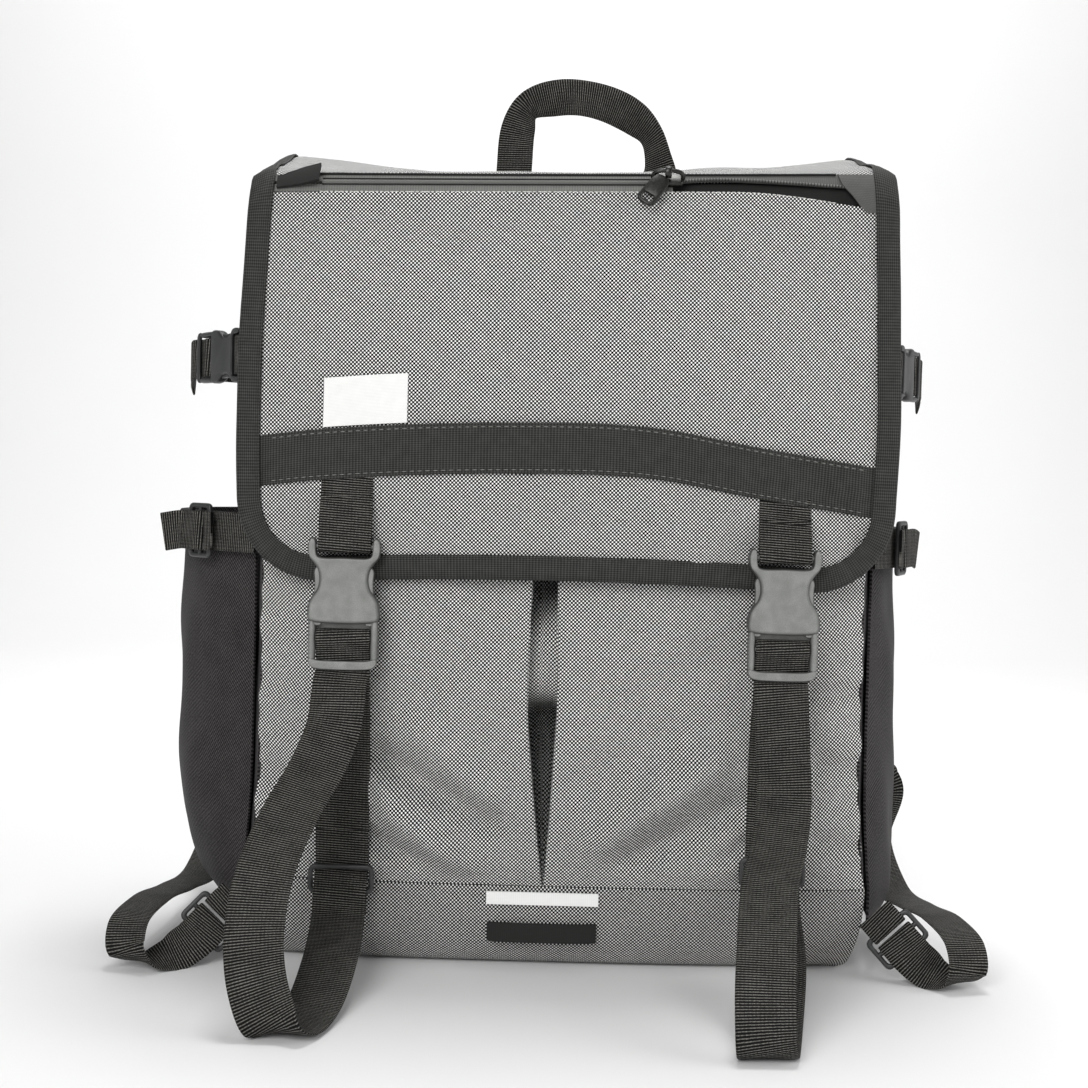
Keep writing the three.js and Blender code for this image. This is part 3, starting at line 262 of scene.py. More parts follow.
def rumple(across: Floats, up: Floats, height: float, phase: float = 0.0) -> Floats:
    """Slow, uneven waves of slack cloth.

    Args:
        across: Places across the wall.
        up: Places up the wall.
        height: About how far the waves reach.
        phase: Shifts the waves, so that no two walls match.

    Returns:
        How far the cloth stands out at each place.
    """
    waves = ((0.031, 0.047, 0.0), (0.058, -0.036, 1.7), (-0.024, 0.083, 3.1), (0.097, 0.061, 4.4))
    total = sum(np.sin(a * across + b * up + c + phase * (1 + 0.6 * c)) for a, b, c in waves)
    return height * total / len(waves)


class Draft:
    """Points, faces and the weave map of one piece while it is built, in millimetres."""

    def __init__(self) -> None:
        """Starts empty."""
        self.points: list[Floats] = []
        self.faces: list[tuple[int, ...]] = []
        self.weave: list[tuple[float, float]] = []
        self.count = 0

    def add_points(self, points: Floats) -> int:
        """Adds points and gives the index of the first."""
        first = self.count
        self.points.append(points.reshape(-1, 3))
        self.count += len(self.points[-1])
        return first

    def add_grid(self, points: Floats, weave: Floats, wrap: bool = False, flip: bool = False) -> Floats:
        """Adds a net of four-sided faces.

        Args:
            points: Rows of columns of points.
            weave: The weave map at each point, with one more column where the net wraps.
            wrap: Whether the last column joins the first.
            flip: Whether the faces look the other way.

        Returns:
            The index of each point, in rows and columns.
        """
        rows, columns = points.shape[:2]
        index = self.add_points(points) + np.arange(rows * columns).reshape(rows, columns)
        joined = np.hstack([index, index[:, :1]]) if wrap else index
        order = ((0, 0), (1, 0), (1, 1), (0, 1)) if flip else ((0, 0), (0, 1), (1, 1), (1, 0))
        high, wide = joined.shape[0] - 1, joined.shape[1] - 1
        corners = np.stack([joined[r:r + high, c:c + wide] for r, c in order], -1).reshape(-1, 4)
        places = np.stack([weave[r:r + high, c:c + wide] for r, c in order], -2).reshape(-1, 2)
        self.faces.extend(map(tuple, corners.tolist()))
        self.weave.extend(map(tuple, places.tolist()))
        return index

    def add_face(self, corners: Sequence[int], weave: Sequence[Sequence[float]]) -> None:
        """Adds one face with its weave map."""
        self.faces.append(tuple(int(i) for i in corners))
        self.weave.extend((float(u), float(v)) for u, v in weave)

    def join_lines(self, first: Floats, second: Floats, weave: Floats) -> None:
        """Joins two lines of points with a strip of faces.

        Args:
            first: Indices along one line.
            second: Indices along the other.
            weave: The weave map along them.
        """
        for i in range(len(first) - 1):
            corners = (first[i], first[i + 1], second[i + 1], second[i])
            self.add_face(corners, (weave[i], weave[i + 1], weave[i + 1], weave[i]))

    def shell(self, outer: Floats, inner: Floats, weave: Floats) -> "Draft":
        """Adds a sheet with a face on both sides and closed edges.

        Args:
            outer: Rows of columns of points on the outside.
            inner: The same on the inside.
            weave: The weave map at each point.

        Returns:
            This draft.
        """
        front = self.add_grid(outer, weave)
        back = self.add_grid(inner, weave, flip=True)
        self.join_lines(front[0, ::-1], back[0, ::-1], weave[0, ::-1])
        self.join_lines(front[-1], back[-1], weave[-1])
        self.join_lines(front[:, 0], back[:, 0], weave[:, 0])
        self.join_lines(front[::-1, -1], back[::-1, -1], weave[::-1, -1])
        return self

    def loft(self, sections: Floats, weave: Floats, closed: bool = False) -> "Draft":
        """Adds a solid through closed sections.

        Args:
            sections: One ring of points after another.
            weave: The weave map, with one more column, and one more row where the run is closed.
            closed: Whether the last ring joins the first.

        Returns:
            This draft.
        """
        if closed:
            rings = np.concatenate([sections, sections[:1]])
            index = self.add_grid(rings, weave, wrap=True)
            self.weld_rows(index[-1], index[0])
            return self
        index = self.add_grid(sections, weave, wrap=True)
        self.add_face(index[0][::-1], weave[0, :-1][::-1])
        self.add_face(index[-1], weave[-1, :-1])
        return self

    def solid(self, rings: Floats, closed: bool = False, flank: Floats | float = 0.0) -> "Draft":
        """Adds a hard solid, whose weave map holds how far each place is on a flank, where the plastic finish
        paints shade.

        Args:
            rings: One ring of points after another.
            closed: Whether the last ring joins the first.
            flank: From 0 on a face to 1 on a flank, for rows and columns with one more column; how much
                painted shade the plastic finish puts there.

        Returns:
            This draft.
        """
        shape = (len(rings) + closed, rings.shape[1] + 1)
        marks = np.zeros((*shape, 2))
        marks[..., 0] = np.broadcast_to(flank, shape) / MM
        return self.loft(rings, marks, closed)

    def weld_rows(self, extra: Floats, kept: Floats) -> None:
        """Points the faces of a doubled row of points at the first one."""
        swap = dict(zip(extra.tolist(), kept.tolist(), strict=True))
        self.faces = [tuple(swap.get(i, i) for i in face) for face in self.faces]

    def volume(self) -> float:
        """Signed volume of what has been drafted, above zero where faces look out."""
        points = np.concatenate(self.points)
        total = 0.0
        for size in {len(face) for face in self.faces}:
            faces = np.array([face for face in self.faces if len(face) == size])
            for i in range(1, size - 1):
                a, b, c = points[faces[:, 0]], points[faces[:, i]], points[faces[:, i + 1]]
                total += float(np.einsum("ij,ij->", a, np.cross(b, c)))
        return total

    def turned_out(self) -> "Draft":
        """Turns every face round if the solid is inside out."""
        if self.volume() < 0:
            weave = []
            start = 0
            for face in self.faces:
                weave.extend(self.weave[start:start + len(face)][::-1])
                start += len(face)
            self.faces = [face[::-1] for face in self.faces]
            self.weave = weave
        return self

    def include(self, other: "Draft") -> "Draft":
        """Takes in another draft's points and faces."""
        first = self.add_points(np.concatenate(other.points))
        self.faces.extend(tuple(i + first for i in face) for face in other.faces)
        self.weave.extend(other.weave)
        return self

    def placed(self, axes: Floats, origin: Floats, scale: float = 1.0) -> "Draft":
        """Moves everything from its own frame to its place.

        Args:
            axes: The frame's directions, as columns.
            origin: Where the frame's origin goes.
            scale: How much it grows.

        Returns:
            This draft.
        """
        self.points = [block @ np.asarray(axes).T * scale + origin for block in self.points]
        return self

    def piece(self, name: str, crease: float = 50.0) -> bpy.types.Object:
        """Makes the drafted mesh an object in the scene.

        Args:
            name: The piece's name.
            crease: Edges bent more than this many degrees stay sharp.

        Returns:
            The object, at the origin.
        """
        points = np.concatenate(self.points) * MM
        mesh = bpy.data.meshes.new(name)
        used = sorted({i for face in self.faces for i in face})
        place = {old: new for new, old in enumerate(used)}
        mesh.from_pydata(points[used].tolist(), [], [tuple(place[i] for i in face) for face in self.faces])
        layer = mesh.uv_layers.new(name="weave")
        layer.data.foreach_set("uv", np.array(self.weave, np.float32).ravel() * MM)
        mesh.polygons.foreach_set("use_smooth", np.array([len(face) < 5 for face in self.faces]))
        mesh.set_sharp_from_angle(angle=math.radians(crease))
        mesh.update()
        return linked(name, mesh)


def linked(name: str, data: bpy.types.ID) -> bpy.types.Object:
    """A new object in the scene."""
    made = bpy.data.objects.new(name, data)
    bpy.context.scene.collection.objects.link(made)
    return made


def travelled(points: Floats) -> Floats:
    """Distance along a line of points from its first."""
    return np.r_[0.0, np.cumsum(np.linalg.norm(np.diff(points, axis=0), axis=-1))]


def squared(values: Floats, power: float) -> Floats:
    """Sines or cosines raised to a power with their signs kept, which squares off a ring."""
    return np.sign(values) * np.abs(values) ** power


def grid_normals(grid: Floats) -> Floats:
    """Normals of a net whose columns run right and rows up, seen from outside."""
    across = np.gradient(grid, axis=1)
    upward = np.gradient(grid, axis=0)
    return unit(np.cross(across, upward))


def weave_of(grid: Floats) -> Floats:
    """A weave map measured along the net itself, from its middle column and row."""
    across = np.linalg.norm(np.diff(grid, axis=1), axis=-1)
    upward = np.linalg.norm(np.diff(grid, axis=0), axis=-1)
    rows, columns = grid.shape[:2]
    u = np.zeros((rows, columns))
    u[:, 1:] = np.cumsum(across, axis=1)
    u -= u[:, columns // 2][:, None]
    v = np.zeros((rows, columns))
    v[1:] = np.cumsum(upward, axis=0)
    v -= v[rows // 2][None, :]
    return np.stack([u, v], -1)


def parted_weave(grid: Floats, column: int) -> Floats:
    """A weave map measured from both side edges towards one column, where a pleat takes up what is left."""
    weave = weave_of(grid)
    half = np.abs(grid[:, :1, 0])
    left = weave[..., 0] - weave[:, :1, 0] - half
    right = weave[..., 0] - weave[:, -1:, 0] + half
    weave[..., 0] = np.where(np.arange(grid.shape[1]) < column, left, right)
    return weave


def cloth_shell(grid: Floats, thick: float, weave: Floats | None = None) -> Draft:
    """A wall of cloth whose outside is a net of points.

    Args:
        grid: The net, columns to the right and rows up, seen from outside.
        thick: The cloth's thickness.
        weave: Its weave map, where the net's own doesn't serve.

    Returns:
        The drafted wall.
    """
    weave = weave_of(grid) if weave is None else weave
    return Draft().shell(grid, grid - grid_normals(grid) * thick, weave).turned_out()


def flat_size(grid: Floats) -> tuple[float, float]:
    """Width and length of the rectangle that a net of cloth is cut from, in metres."""
    width = np.linalg.norm(np.diff(grid, axis=1), axis=-1).sum(1).max()
    length = np.linalg.norm(np.diff(grid, axis=0), axis=-1).sum(0).max()
    return float(width) * MM, float(length) * MM


def flat_area(grid: Floats) -> float:
    """Area of a net of cloth that isn't cut as a rectangle, in square metres."""
    across = np.diff(grid, axis=1)[:-1]
    down = np.diff(grid, axis=0)[:, :-1]
    return float(np.linalg.norm(np.cross(across, down), axis=-1).sum()) * MM * MM


@dataclass(frozen=True)
class Webbing:
    """A woven band with soft edges, swept along a path."""

    width: float
    thick: float = 1.5
    step: float = 2.6

    def draft(self, path: SmoothPath, width_rule: WidthRule) -> Draft:
        """Sweeps the band.

        Args:
            path: Its middle line.
            width_rule: Gives the direction of its width from shares and directions of travel.

        Returns:
            The drafted band.
        """
        shares = path.places(self.step)
        middle = path.at(shares)
        along = path.along(shares)
        across = width_rule(shares, along)
        across = unit(across - along * np.einsum("ij,ij->i", across, along)[:, None])
        out = unit(np.cross(along, across))
        reach = np.array([-1, -0.94, -0.5, 0, 0.5, 0.94, 1.0])
        lift = np.array([0.35, 1, 1, 1, 1, 1, 0.35])
        a = np.concatenate([reach, reach[::-1]]) * self.width / 2
        b = np.concatenate([lift, -lift[::-1]]) * self.thick / 2
        sections = middle[:, None] + across[:, None] * a[None, :, None] + out[:, None] * b[None, :, None]
        rings = np.concatenate([middle, middle[:1]]) if path.closed else middle
        columns = np.concatenate([a, a[:1]])
        weave = np.stack(np.broadcast_arrays(columns[None, :], travelled(rings)[:, None]), -1)
        return Draft().loft(sections, weave, path.closed).turned_out()


def steady(direction: Floats) -> WidthRule:
    """A width rule that always gives one direction."""
    return lambda shares, along: np.broadcast_to(direction, along.shape)


def between(directions: Sequence[Floats]) -> WidthRule:
    """A width rule that blends between the directions at a path's points."""
    table = np.array(directions, float)

    def rule(shares: Floats, along: Floats) -> Floats:
        """Directions at some shares of the path."""
        place = shares * (len(table) - 1)
        low = np.minimum(np.floor(place).astype(int), len(table) - 2)
        return mix(table[low], table[low + 1], (place - low)[:, None])

    return rule


def tipped(turn: float = 0.0, tip: float = 0.0) -> Floats:
    """Width direction from a turn about the vertical and a tip upwards, in degrees."""
    aside = math.sin(math.radians(turn))
    rise = math.sin(math.radians(tip))
    return np.array([math.sqrt(1 - min(aside**2 + rise**2, 0.9)), aside, rise])


def round_bar(reach: float) -> list[tuple[float, float]]:
    """Half a turn round a bar as forward and outside pairs, from its inner to its outer side."""
    angles = np.linspace(-math.pi / 2, math.pi / 2, 5)
    return [(reach * math.cos(a), reach * math.sin(a)) for a in angles]


@dataclass(frozen=True)
class StrapFrame:
    """Where a moulded part or bar lies on a strap: its middle, the strap's run and its outside."""

    middle: Floats
    along: Floats
    face: Floats

    def aside(self, forward: float, outside: float) -> Floats:
        """A point ahead of and outside the middle."""
        return self.middle + self.along * forward + self.face * outside

    def wrapped(self, reach: float, bar: float, turn: float) -> list[Floats]:
        """Half a turn of webbing round a bar that lies ahead of the middle."""
        return [self.aside(bar + turn * forward, outside) for forward, outside in round_bar(reach)]


def rounded_box(half: float, low: float, high: float, radius: float) -> Floats:
    """Outline of an upright rectangle with round corners, anticlockwise from its lower right."""
    corners = ((half, low, 1, 1), (half, high, 1, -1), (-half, high, -1, -1), (-half, low, -1, 1))
    points = []
    for turn, (x, z, aside, above) in enumerate(corners):
        for angle in np.linspace(-math.pi / 2, 0, 7) + turn * math.pi / 2:
            centre = (x - aside * radius, z + above * radius)
            points.append((centre[0] + radius * math.cos(angle), centre[1] + radius * math.sin(angle)))
    return np.array(points)


def smooth_outline(half_points: Sequence[tuple[float, float]], step: float = 0.9) -> Floats:
    """A smooth outline from its right half, which runs from the bottom to the top."""
    left = [(-x, z) for x, z in half_points[::-1] if x > 0]
    path = SmoothPath(np.array([*half_points, *left]), closed=True)
    return path.at(path.places(step))


def seen_from(centre: tuple[float, float], outline: Floats, count: int) -> Floats:
    """An outline read along rays from a point inside it.

    Args:
        centre: That point.
        outline: Points round the outline.
        count: How many rays there are.

    Returns:
        One point for each ray.
    """
    angles = np.linspace(0, 2 * math.pi, count, endpoint=False)
    ray = np.stack([np.cos(angles), np.sin(angles)], -1)
    start = outline - np.array(centre)
    run = np.roll(start, -1, 0) - start
    slant = ray[:, :1] * run[:, 1] - ray[:, 1:] * run[:, 0]
    slant = np.where(np.abs(slant) < 1e-9, 1e-9, slant)
    reach = (start[:, 0] * run[:, 1] - start[:, 1] * run[:, 0]) / slant
    share = (start[:, 0] * ray[:, 1:] - start[:, 1] * ray[:, :1]) / slant
    hit = (share >= -1e-6) & (share <= 1 + 1e-6) & (reach > 0)
    return np.array(centre) + ray * np.where(hit, reach, 0).max(1)[:, None]


def ring_plate(outer: Floats, inner: Floats, centre: tuple[float, float], thick: float, ease: float) -> Draft:
    """A plate with one opening and eased rims, upright in X and Z.

    Args:
        outer: Its outline.
        inner: The opening's outline.
        centre: A point inside the opening.
        thick: Its thickness along Y.
        ease: How far the rims are eased.

    Returns:
        The drafted plate.
    """
    count = 96
    far, near = seen_from(centre, outer, count), seen_from(centre, inner, count)
    length = np.linalg.norm(far - near, axis=-1)
    edge = np.minimum(ease, length * 0.4) / length
    front = np.full(count, -thick / 2)
    back = np.full(count, thick / 2)
    rise = np.minimum(ease, (back - front) * 0.4)
    zero, one = np.zeros(count), np.ones(count)
    steps = (
        (zero, front + rise), (edge * 0.3, front + rise * 0.3), (edge, front), (one - edge, front),
        (one - edge * 0.3, front + rise * 0.3), (one, front + rise), (one, back - rise),
        (one - edge * 0.3, back - rise * 0.3), (one - edge, back), (edge, back),
        (edge * 0.3, back - rise * 0.3), (zero, back - rise),
    )
    rings = []
    for share, y in steps:
        flat = mix(near, far, share[:, None])
        rings.append(np.stack([flat[:, 0], y, flat[:, 1]], -1))
    return Draft().solid(np.stack(rings, 1), closed=True).turned_out()


def eased_plate(outline: Floats, thick: float, ease: Floats | float) -> Draft:
    """A plate with eased rims, upright in X and Z, from an anticlockwise outline."""
    ease = np.broadcast_to(ease, len(outline))
    along = unit(np.roll(outline, -1, 0) - np.roll(outline, 1, 0))
    inward = np.stack([-along[:, 1], along[:, 0]], -1)
    half = thick / 2
    steps = (
        (1, -half, 0), (0.6, -half, 0.1), (0.25, -half, 0.35), (0, -half, 1),
        (0, half, -1), (0.25, half, -0.35), (0.6, half, -0.1), (1, half, 0),
    )
    rings = []
    for inset, y, share in steps:
        flat = outline + inward * (ease * inset)[:, None]
        rings.append(np.stack([flat[:, 0], y + share * np.minimum(ease, half * 0.9), flat[:, 1]], -1))
    # Share of painted shade on plastic: none on the faces, full on the rims' flanks.
    flank = np.array([0, 0.45, 0.9, 1, 1, 0.9, 0.45, 0])[:, None]
    return Draft().solid(np.array(rings), flank=flank).turned_out()


def tube(points: Floats, radius: Floats | float, sides: int = 12, flat: float = 1.0) -> Draft:
    """A round bar along points.

    Args:
        points: Its middle line.
        radius: Its radius, all along or at each point.
        sides: How many sides it has.
        flat: Its depth as a share of its width.

    Returns:
        The drafted bar.
    """
    points = np.asarray(points, float)
    along = unit(np.gradient(points, axis=0))
    level = BACKWARD if abs(along[0] @ BACKWARD) < 0.9 else UPWARD
    across = unit(np.cross(along, level))
    out = unit(np.cross(across, along))
    angles = np.linspace(0, 2 * math.pi, sides, endpoint=False)
    ring = across[:, None] * np.cos(angles)[:, None] + out[:, None] * (flat * np.sin(angles))[:, None]
    size = np.broadcast_to(radius, len(points))[:, None, None]
    # Share of painted shade on plastic: full on the sides, none on front and back, which leaves a painted
    # highlight stripe along the face.
    flank = np.abs(np.cos(np.append(angles, angles[0]))) ** 2
    return Draft().solid(points[:, None] + ring * size, flank=flank[None, :]).turned_out()


def cross_bar(half: float, z: float, radius: float) -> Draft:
    """A round bar across a moulded part."""
    return tube([(-half, 0, z), (0, 0, z), (half, 0, z)], radius)


class ReleaseBuckle:
    """A side-release buckle, upright with its mouth at the origin and its face towards -Y."""

    SOCKET = (
        (0, -1.0), (9, -0.8), (17, -0.2), (20.2, 0.8), (21.4, 3), (21.3, 7), (20.4, 12), (18.4, 15.8),
        (15.8, 19.4), (14.5, 25), (15.4, 30.8), (17.6, 34.6), (20.3, 38.4), (21.3, 42.6), (21.2, 46.2),
        (20.2, 48.9), (18.8, 49.8), (17.4, 48.8), (16.9, 46), (16.7, 41.6), (15.9, 39.2), (14, 38.3),
        (0, 38.2),
    )
    FOOT = (
        (0, -28.3), (9, -28.2), (15, -27.8), (18.4, -26.8), (20.1, -24.8), (20.5, -22.4), (19.4, -21.2),
        (17, -21.8), (14, -22.5), (0, -22.7),
    )
    RAIL = ((1.5, 1.4), (0.5, 2), (-4, 2.35), (-12, 2.4), (-20, 2.3), (-22.5, 2), (-24, 1.5), (-24.8, 0.7))
    PRONG = (
        (13.2, -1.6), (17.4, -1.6), (17.7, 8), (17.9, 15), (17.4, 20), (17.3, 25), (17.6, 30), (16.4, 32.4),
        (14, 31.8), (12.8, 28), (12.6, 18), (13, 6),
    )

    def socket(self) -> Draft:
        """The half that the tab holds: a waisted face between ears, with a bar in its top."""
        outline = smooth_outline(self.SOCKET)
        made = eased_plate(outline, 9, mix(2.3, 0.8, smooth_step(33, 40, outline[:, 1])))
        return made.include(cross_bar(17.6, 44.8, 1.6))

    def plug(self) -> Draft:
        """The half that the strap holds: sprung prongs above a frame with a bar."""
        made = cross_bar(17.4, -9.5, 1.5)
        foot = eased_plate(smooth_outline(self.FOOT), 2.5, 0.9)
        made.include(foot.placed(np.eye(3), BACKWARD * -2.25))
        back = eased_plate(rounded_box(17.6, -8, 0.4, 0.8), 1.4, 0.3)
        made.include(back.placed(np.eye(3), BACKWARD * 2.6))
        for x in (-18.5, 18.5):
            line = np.array([(x, 0, z) for z, _ in self.RAIL])
            made.include(tube(line, np.array([radius for _, radius in self.RAIL]), 16, 1.6))
        prong = SmoothPath(np.array(self.PRONG), closed=True)
        right = prong.at(prong.places(0.9))
        made.include(eased_plate(right, 4.4, 0.7))
        return made.include(eased_plate((right * np.array([-1, 1]))[::-1], 4.4, 0.7))


def ladder_slider(width: float, length: float, bar: float, thick: float) -> Draft:
    """A strap slider: an eased frame with a bar across its middle."""
    outer = rounded_box(width / 2, -length / 2, length / 2, 3.4)
    inner = rounded_box(width / 2 - bar, bar - length / 2, length / 2 - bar, 1.6)
    return ring_plate(outer, inner, (0, 0), thick, 1.1).include(cross_bar(width / 2 - bar * 0.6, 0, bar / 2))


class Wire:
    """A value in a material's nodes; arithmetic on it adds Math nodes."""

    def __init__(self, kit: "NodeKit", socket: bpy.types.NodeSocket) -> None:
        self.kit = kit
        self.socket = socket

    def __add__(self, other: "Wire | float") -> "Wire":
        """This plus another value."""
        return self.kit.math("ADD", self, other)

    def __radd__(self, other: "Wire | float") -> "Wire":
        """Another value plus this."""
        return self.kit.math("ADD", other, self)

    def __sub__(self, other: "Wire | float") -> "Wire":
        """This less another value."""
        return self.kit.math("SUBTRACT", self, other)

    def __mul__(self, other: "Wire | float") -> "Wire":
        """This times another value."""
        return self.kit.math("MULTIPLY", self, other)

    def sine(self) -> "Wire":
        """The sine of this value."""
        return self.kit.math("SINE", self)

    def clamped(self) -> "Wire":
        """This value held between 0 and 1."""
        return self.kit.math("ADD", self, 0.0, clamp=True)


class NodeKit:
    """One material's nodes."""

    def __init__(self, name: str) -> None:
        """Starts an empty material."""
        self.material = bpy.data.materials.new(name)
        self.material.use_nodes = True
        self.tree = self.material.node_tree
        self.tree.nodes.clear()

    def node(
        self, kind: str, settings: Mapping | None = None, sockets: Mapping | None = None,
    ) -> bpy.types.Node:
        """Adds any node.

        Args:
            kind: The node's type.
            settings: Its properties, set first.
            sockets: Values or links of its inputs, by name or number.

        Returns:
            The node.
        """
        made = self.tree.nodes.new(kind)
        for key, value in (settings or {}).items():
            setattr(made, key, value)
        for key, value in (sockets or {}).items():
            self.feed(made.inputs[key], value)
        return made

    def feed(self, socket: bpy.types.NodeSocket, value: object) -> None:
        """Links a wire or socket to an input, or sets the input's own value."""
        if isinstance(value, Wire):
            self.tree.links.new(value.socket, socket)
        elif isinstance(value, bpy.types.NodeSocket):
            self.tree.links.new(value, socket)
        elif socket.type == "RGBA" and len(value) == 3:
            socket.default_value = (*value, 1.0)
        else:
            socket.default_value = value

    def math(
        self, operation: str, first: Wire | float, second: Wire | float = 0.0, clamp: bool = False,
    ) -> Wire:
        """Adds a Math node.

        Args:
            operation: What it does.
            first: Its first value.
            second: Its second value.
            clamp: Whether the result is held between 0 and 1.

        Returns:
            The result.
        """
        settings = {"operation": operation, "use_clamp": clamp}
        return Wire(self, self.node("ShaderNodeMath", settings, {0: first, 1: second}).outputs[0])

    def weave_place(self) -> tuple[Wire, Wire, bpy.types.NodeSocket]:
        """Place on the piece's weave map in metres, as two values and as a vector."""
        place = self.node("ShaderNodeUVMap", {"uv_map": "weave"}).outputs["UV"]
        parts = self.node("ShaderNodeSeparateXYZ", None, {0: place})
        return Wire(self, parts.outputs[0]), Wire(self, parts.outputs[1]), place

    def flat_place(self) -> tuple[Wire, Wire, bpy.types.NodeSocket]:
        """Place in the object's own frame, across and up, as two values and as a vector."""
        place = self.object_place()
        parts = self.node("ShaderNodeSeparateXYZ", None, {0: place})
        across = Wire(self, parts.outputs[0]) + Wire(self, parts.outputs[1]) * 0.7
        return across, Wire(self, parts.outputs[2]), place

    def object_place(self) -> bpy.types.NodeSocket:
        """Place in the object's own frame in metres."""
        return self.node("ShaderNodeTexCoord").outputs["Object"]

    def noise(self, place: bpy.types.NodeSocket, scale: float, detail: float = 2.0) -> Wire:
        """Soft random values from 0 to 1.

        Args:
            place: Where they are read.
            scale: How many lumps there are in a metre.
            detail: How many finer layers are added.

        Returns:
            The values.
        """
        made = self.node("ShaderNodeTexNoise", None, {"Vector": place, "Scale": scale, "Detail": detail})
        return Wire(self, made.outputs["Fac"])

    def blend(self, share: Wire | float, first: object, second: object) -> bpy.types.NodeSocket:
        """A colour between two others."""
        made = self.node("ShaderNodeMix", {"data_type": "RGBA"}, {0: share, 6: first, 7: second})
        return made.outputs[2]

    def bump(self, height: Wire, distance: float, strength: float = 1.0) -> bpy.types.NodeSocket:
        """A normal from a height.

        Args:
            height: The height, from about 0 to 1.
            distance: How tall a height of 1 is, in metres.
            strength: How much of it shows.

        Returns:
            The normal.
        """
        sockets = {"Strength": strength, "Distance": distance, "Height": height}
        return self.node("ShaderNodeBump", None, sockets).outputs["Normal"]

    def finish(self, sockets: Mapping) -> bpy.types.Material:
        """Adds the surface shader.

        Args:
            sockets: Its values and links.

        Returns:
            The material.
        """
        shader = self.node("ShaderNodeBsdfPrincipled", None, sockets)
        output = self.node("ShaderNodeOutputMaterial")
        self.tree.links.new(shader.outputs[0], output.inputs[0])
        return self.material


@dataclass(frozen=True)
class CheckWeave:
    """Two-tone cloth: pale and dark yarn cross in small checks."""

    name: str
    light: Colour
    dark: Colour
    cell: float = 0.00114

    def material(self) -> bpy.types.Material:
        """Builds the cloth's material."""
        kit = NodeKit(self.name)
        u, v, place = kit.weave_place()
        slow = kit.noise(place, 45.0, 3.0)
        yarn = kit.noise(place, 1400.0, 1.0)
        turn = math.pi / self.cell
        check = (u * turn).sine() * (v * turn).sine()
        slub = kit.noise(place, 420.0, 1.0)
        uneven = (yarn - 0.5) * 1.0 + (slub - 0.5) * 1.4 + (slow - 0.5) * 0.3
        tone = (check * 5.0 - 0.6 + uneven).clamped()
        colour = kit.blend(tone, self.dark, self.light)
        rough = 0.82 + (yarn - 0.5) * 0.16
        normal = kit.bump(check * 0.5 + yarn * 0.5, 0.00022, 0.7)
        return kit.finish({
            "Base Color": colour, "Roughness": rough, "Normal": normal,
            "Sheen Weight": 0.12, "Sheen Roughness": 0.5, "Specular IOR Level": 0.25,
        })


@dataclass(frozen=True)
class TwillCloth:
    """Dark pack cloth with a fine diagonal twill."""

    name: str
    ridge: Colour
    valley: Colour
    pitch: float = 0.0015
    mapped: bool = True

    def material(self) -> bpy.types.Material:
        """Builds the cloth's material."""
        kit = NodeKit(self.name)
        u, v, place = kit.weave_place() if self.mapped else kit.flat_place()
        slow = kit.noise(place, 60.0, 3.0)
        yarn = kit.noise(place, 760.0, 2.0)
        turn = 2 * math.pi / self.pitch
        twill = ((u * 0.8 + v * 0.6) * turn).sine()
        cross = ((u * 0.6 - v * 0.8) * (turn * 0.7)).sine()
        uneven = (yarn - 0.5) * 1.1 + (slow - 0.5) * 0.5
        tone = (twill * 0.42 + cross * 0.16 + 0.3 + uneven).clamped()
        colour = kit.blend(tone, self.valley, self.ridge)
        normal = kit.bump(twill * 0.5 + yarn * 0.6, 0.00016, 0.6)
        return kit.finish({
            "Base Color": colour, "Roughness": 0.7 + (slow - 0.5) * 0.2, "Normal": normal,
            "Sheen Weight": 0.05, "Sheen Roughness": 0.5, "Specular IOR Level": 0.15,
        })


@dataclass(frozen=True)
class RibbedWebbing:
    """Webbing with broken ribs across its width."""

    name: str
    ridge: Colour
    valley: Colour
    pitch: float = 0.0015

    def material(self) -> bpy.types.Material:
        """Builds the webbing's material."""
        kit = NodeKit(self.name)
        u, v, place = kit.weave_place()
        yarn = kit.noise(place, 1500.0, 1.0)
        slow = kit.noise(place, 90.0, 2.0)
        wander = (kit.noise(place, 260.0, 1.0) - 0.5) * 0.9
        rib = ((v + u * 0.06) * (2 * math.pi / self.pitch) + wander).sine()
        warp = (u * (2 * math.pi / 0.0021) + rib * 0.8).sine()
        uneven = (yarn - 0.5) * 1.3 + (slow - 0.5) * 0.5
        tone = (rib * (0.9 + warp * 0.14) - 0.2 + uneven).clamped()
        colour = kit.blend(tone, self.valley, self.ridge)
        normal = kit.bump(rib * 0.5 + warp * 0.2 + yarn * 0.3, 0.0003, 0.8)
        return kit.finish({
            "Base Color": colour, "Roughness": 0.66 + (yarn - 0.5) * 0.2, "Normal": normal,
            "Specular IOR Level": 0.12,
        })


@dataclass(frozen=True)
class MouldedPlastic:
    """Matt moulded plastic with a fine spark-eroded grain, and painted shade that darkens its flanks."""

    name: str
    colour: Colour
    worn: Colour

    def material(self) -> bpy.types.Material:
        """Builds the plastic's material."""
        kit = NodeKit(self.name)
        place = kit.object_place()
        flank, _, _ = kit.weave_place()
        grain = kit.noise(place, 2600.0, 2.0)
        slow = kit.noise(place, 120.0, 3.0)
        # Painted shade: the flanks are blended towards 0.3 of the colour, as if light reached only the faces.
        shade = tuple(value * 0.3 for value in self.colour)
        colour = kit.blend(((slow - 0.3) * 1.2 + (grain - 0.5) * 1.6).clamped(), self.colour, self.worn)
        colour = kit.blend(flank.clamped(), colour, shade)
        normal = kit.bump(grain, 0.00006, 0.6)
        return kit.finish({
            "Base Color": colour, "Roughness": 0.42 + (slow - 0.5) * 0.2, "Normal": normal,
            "Specular IOR Level": 0.5,
        })


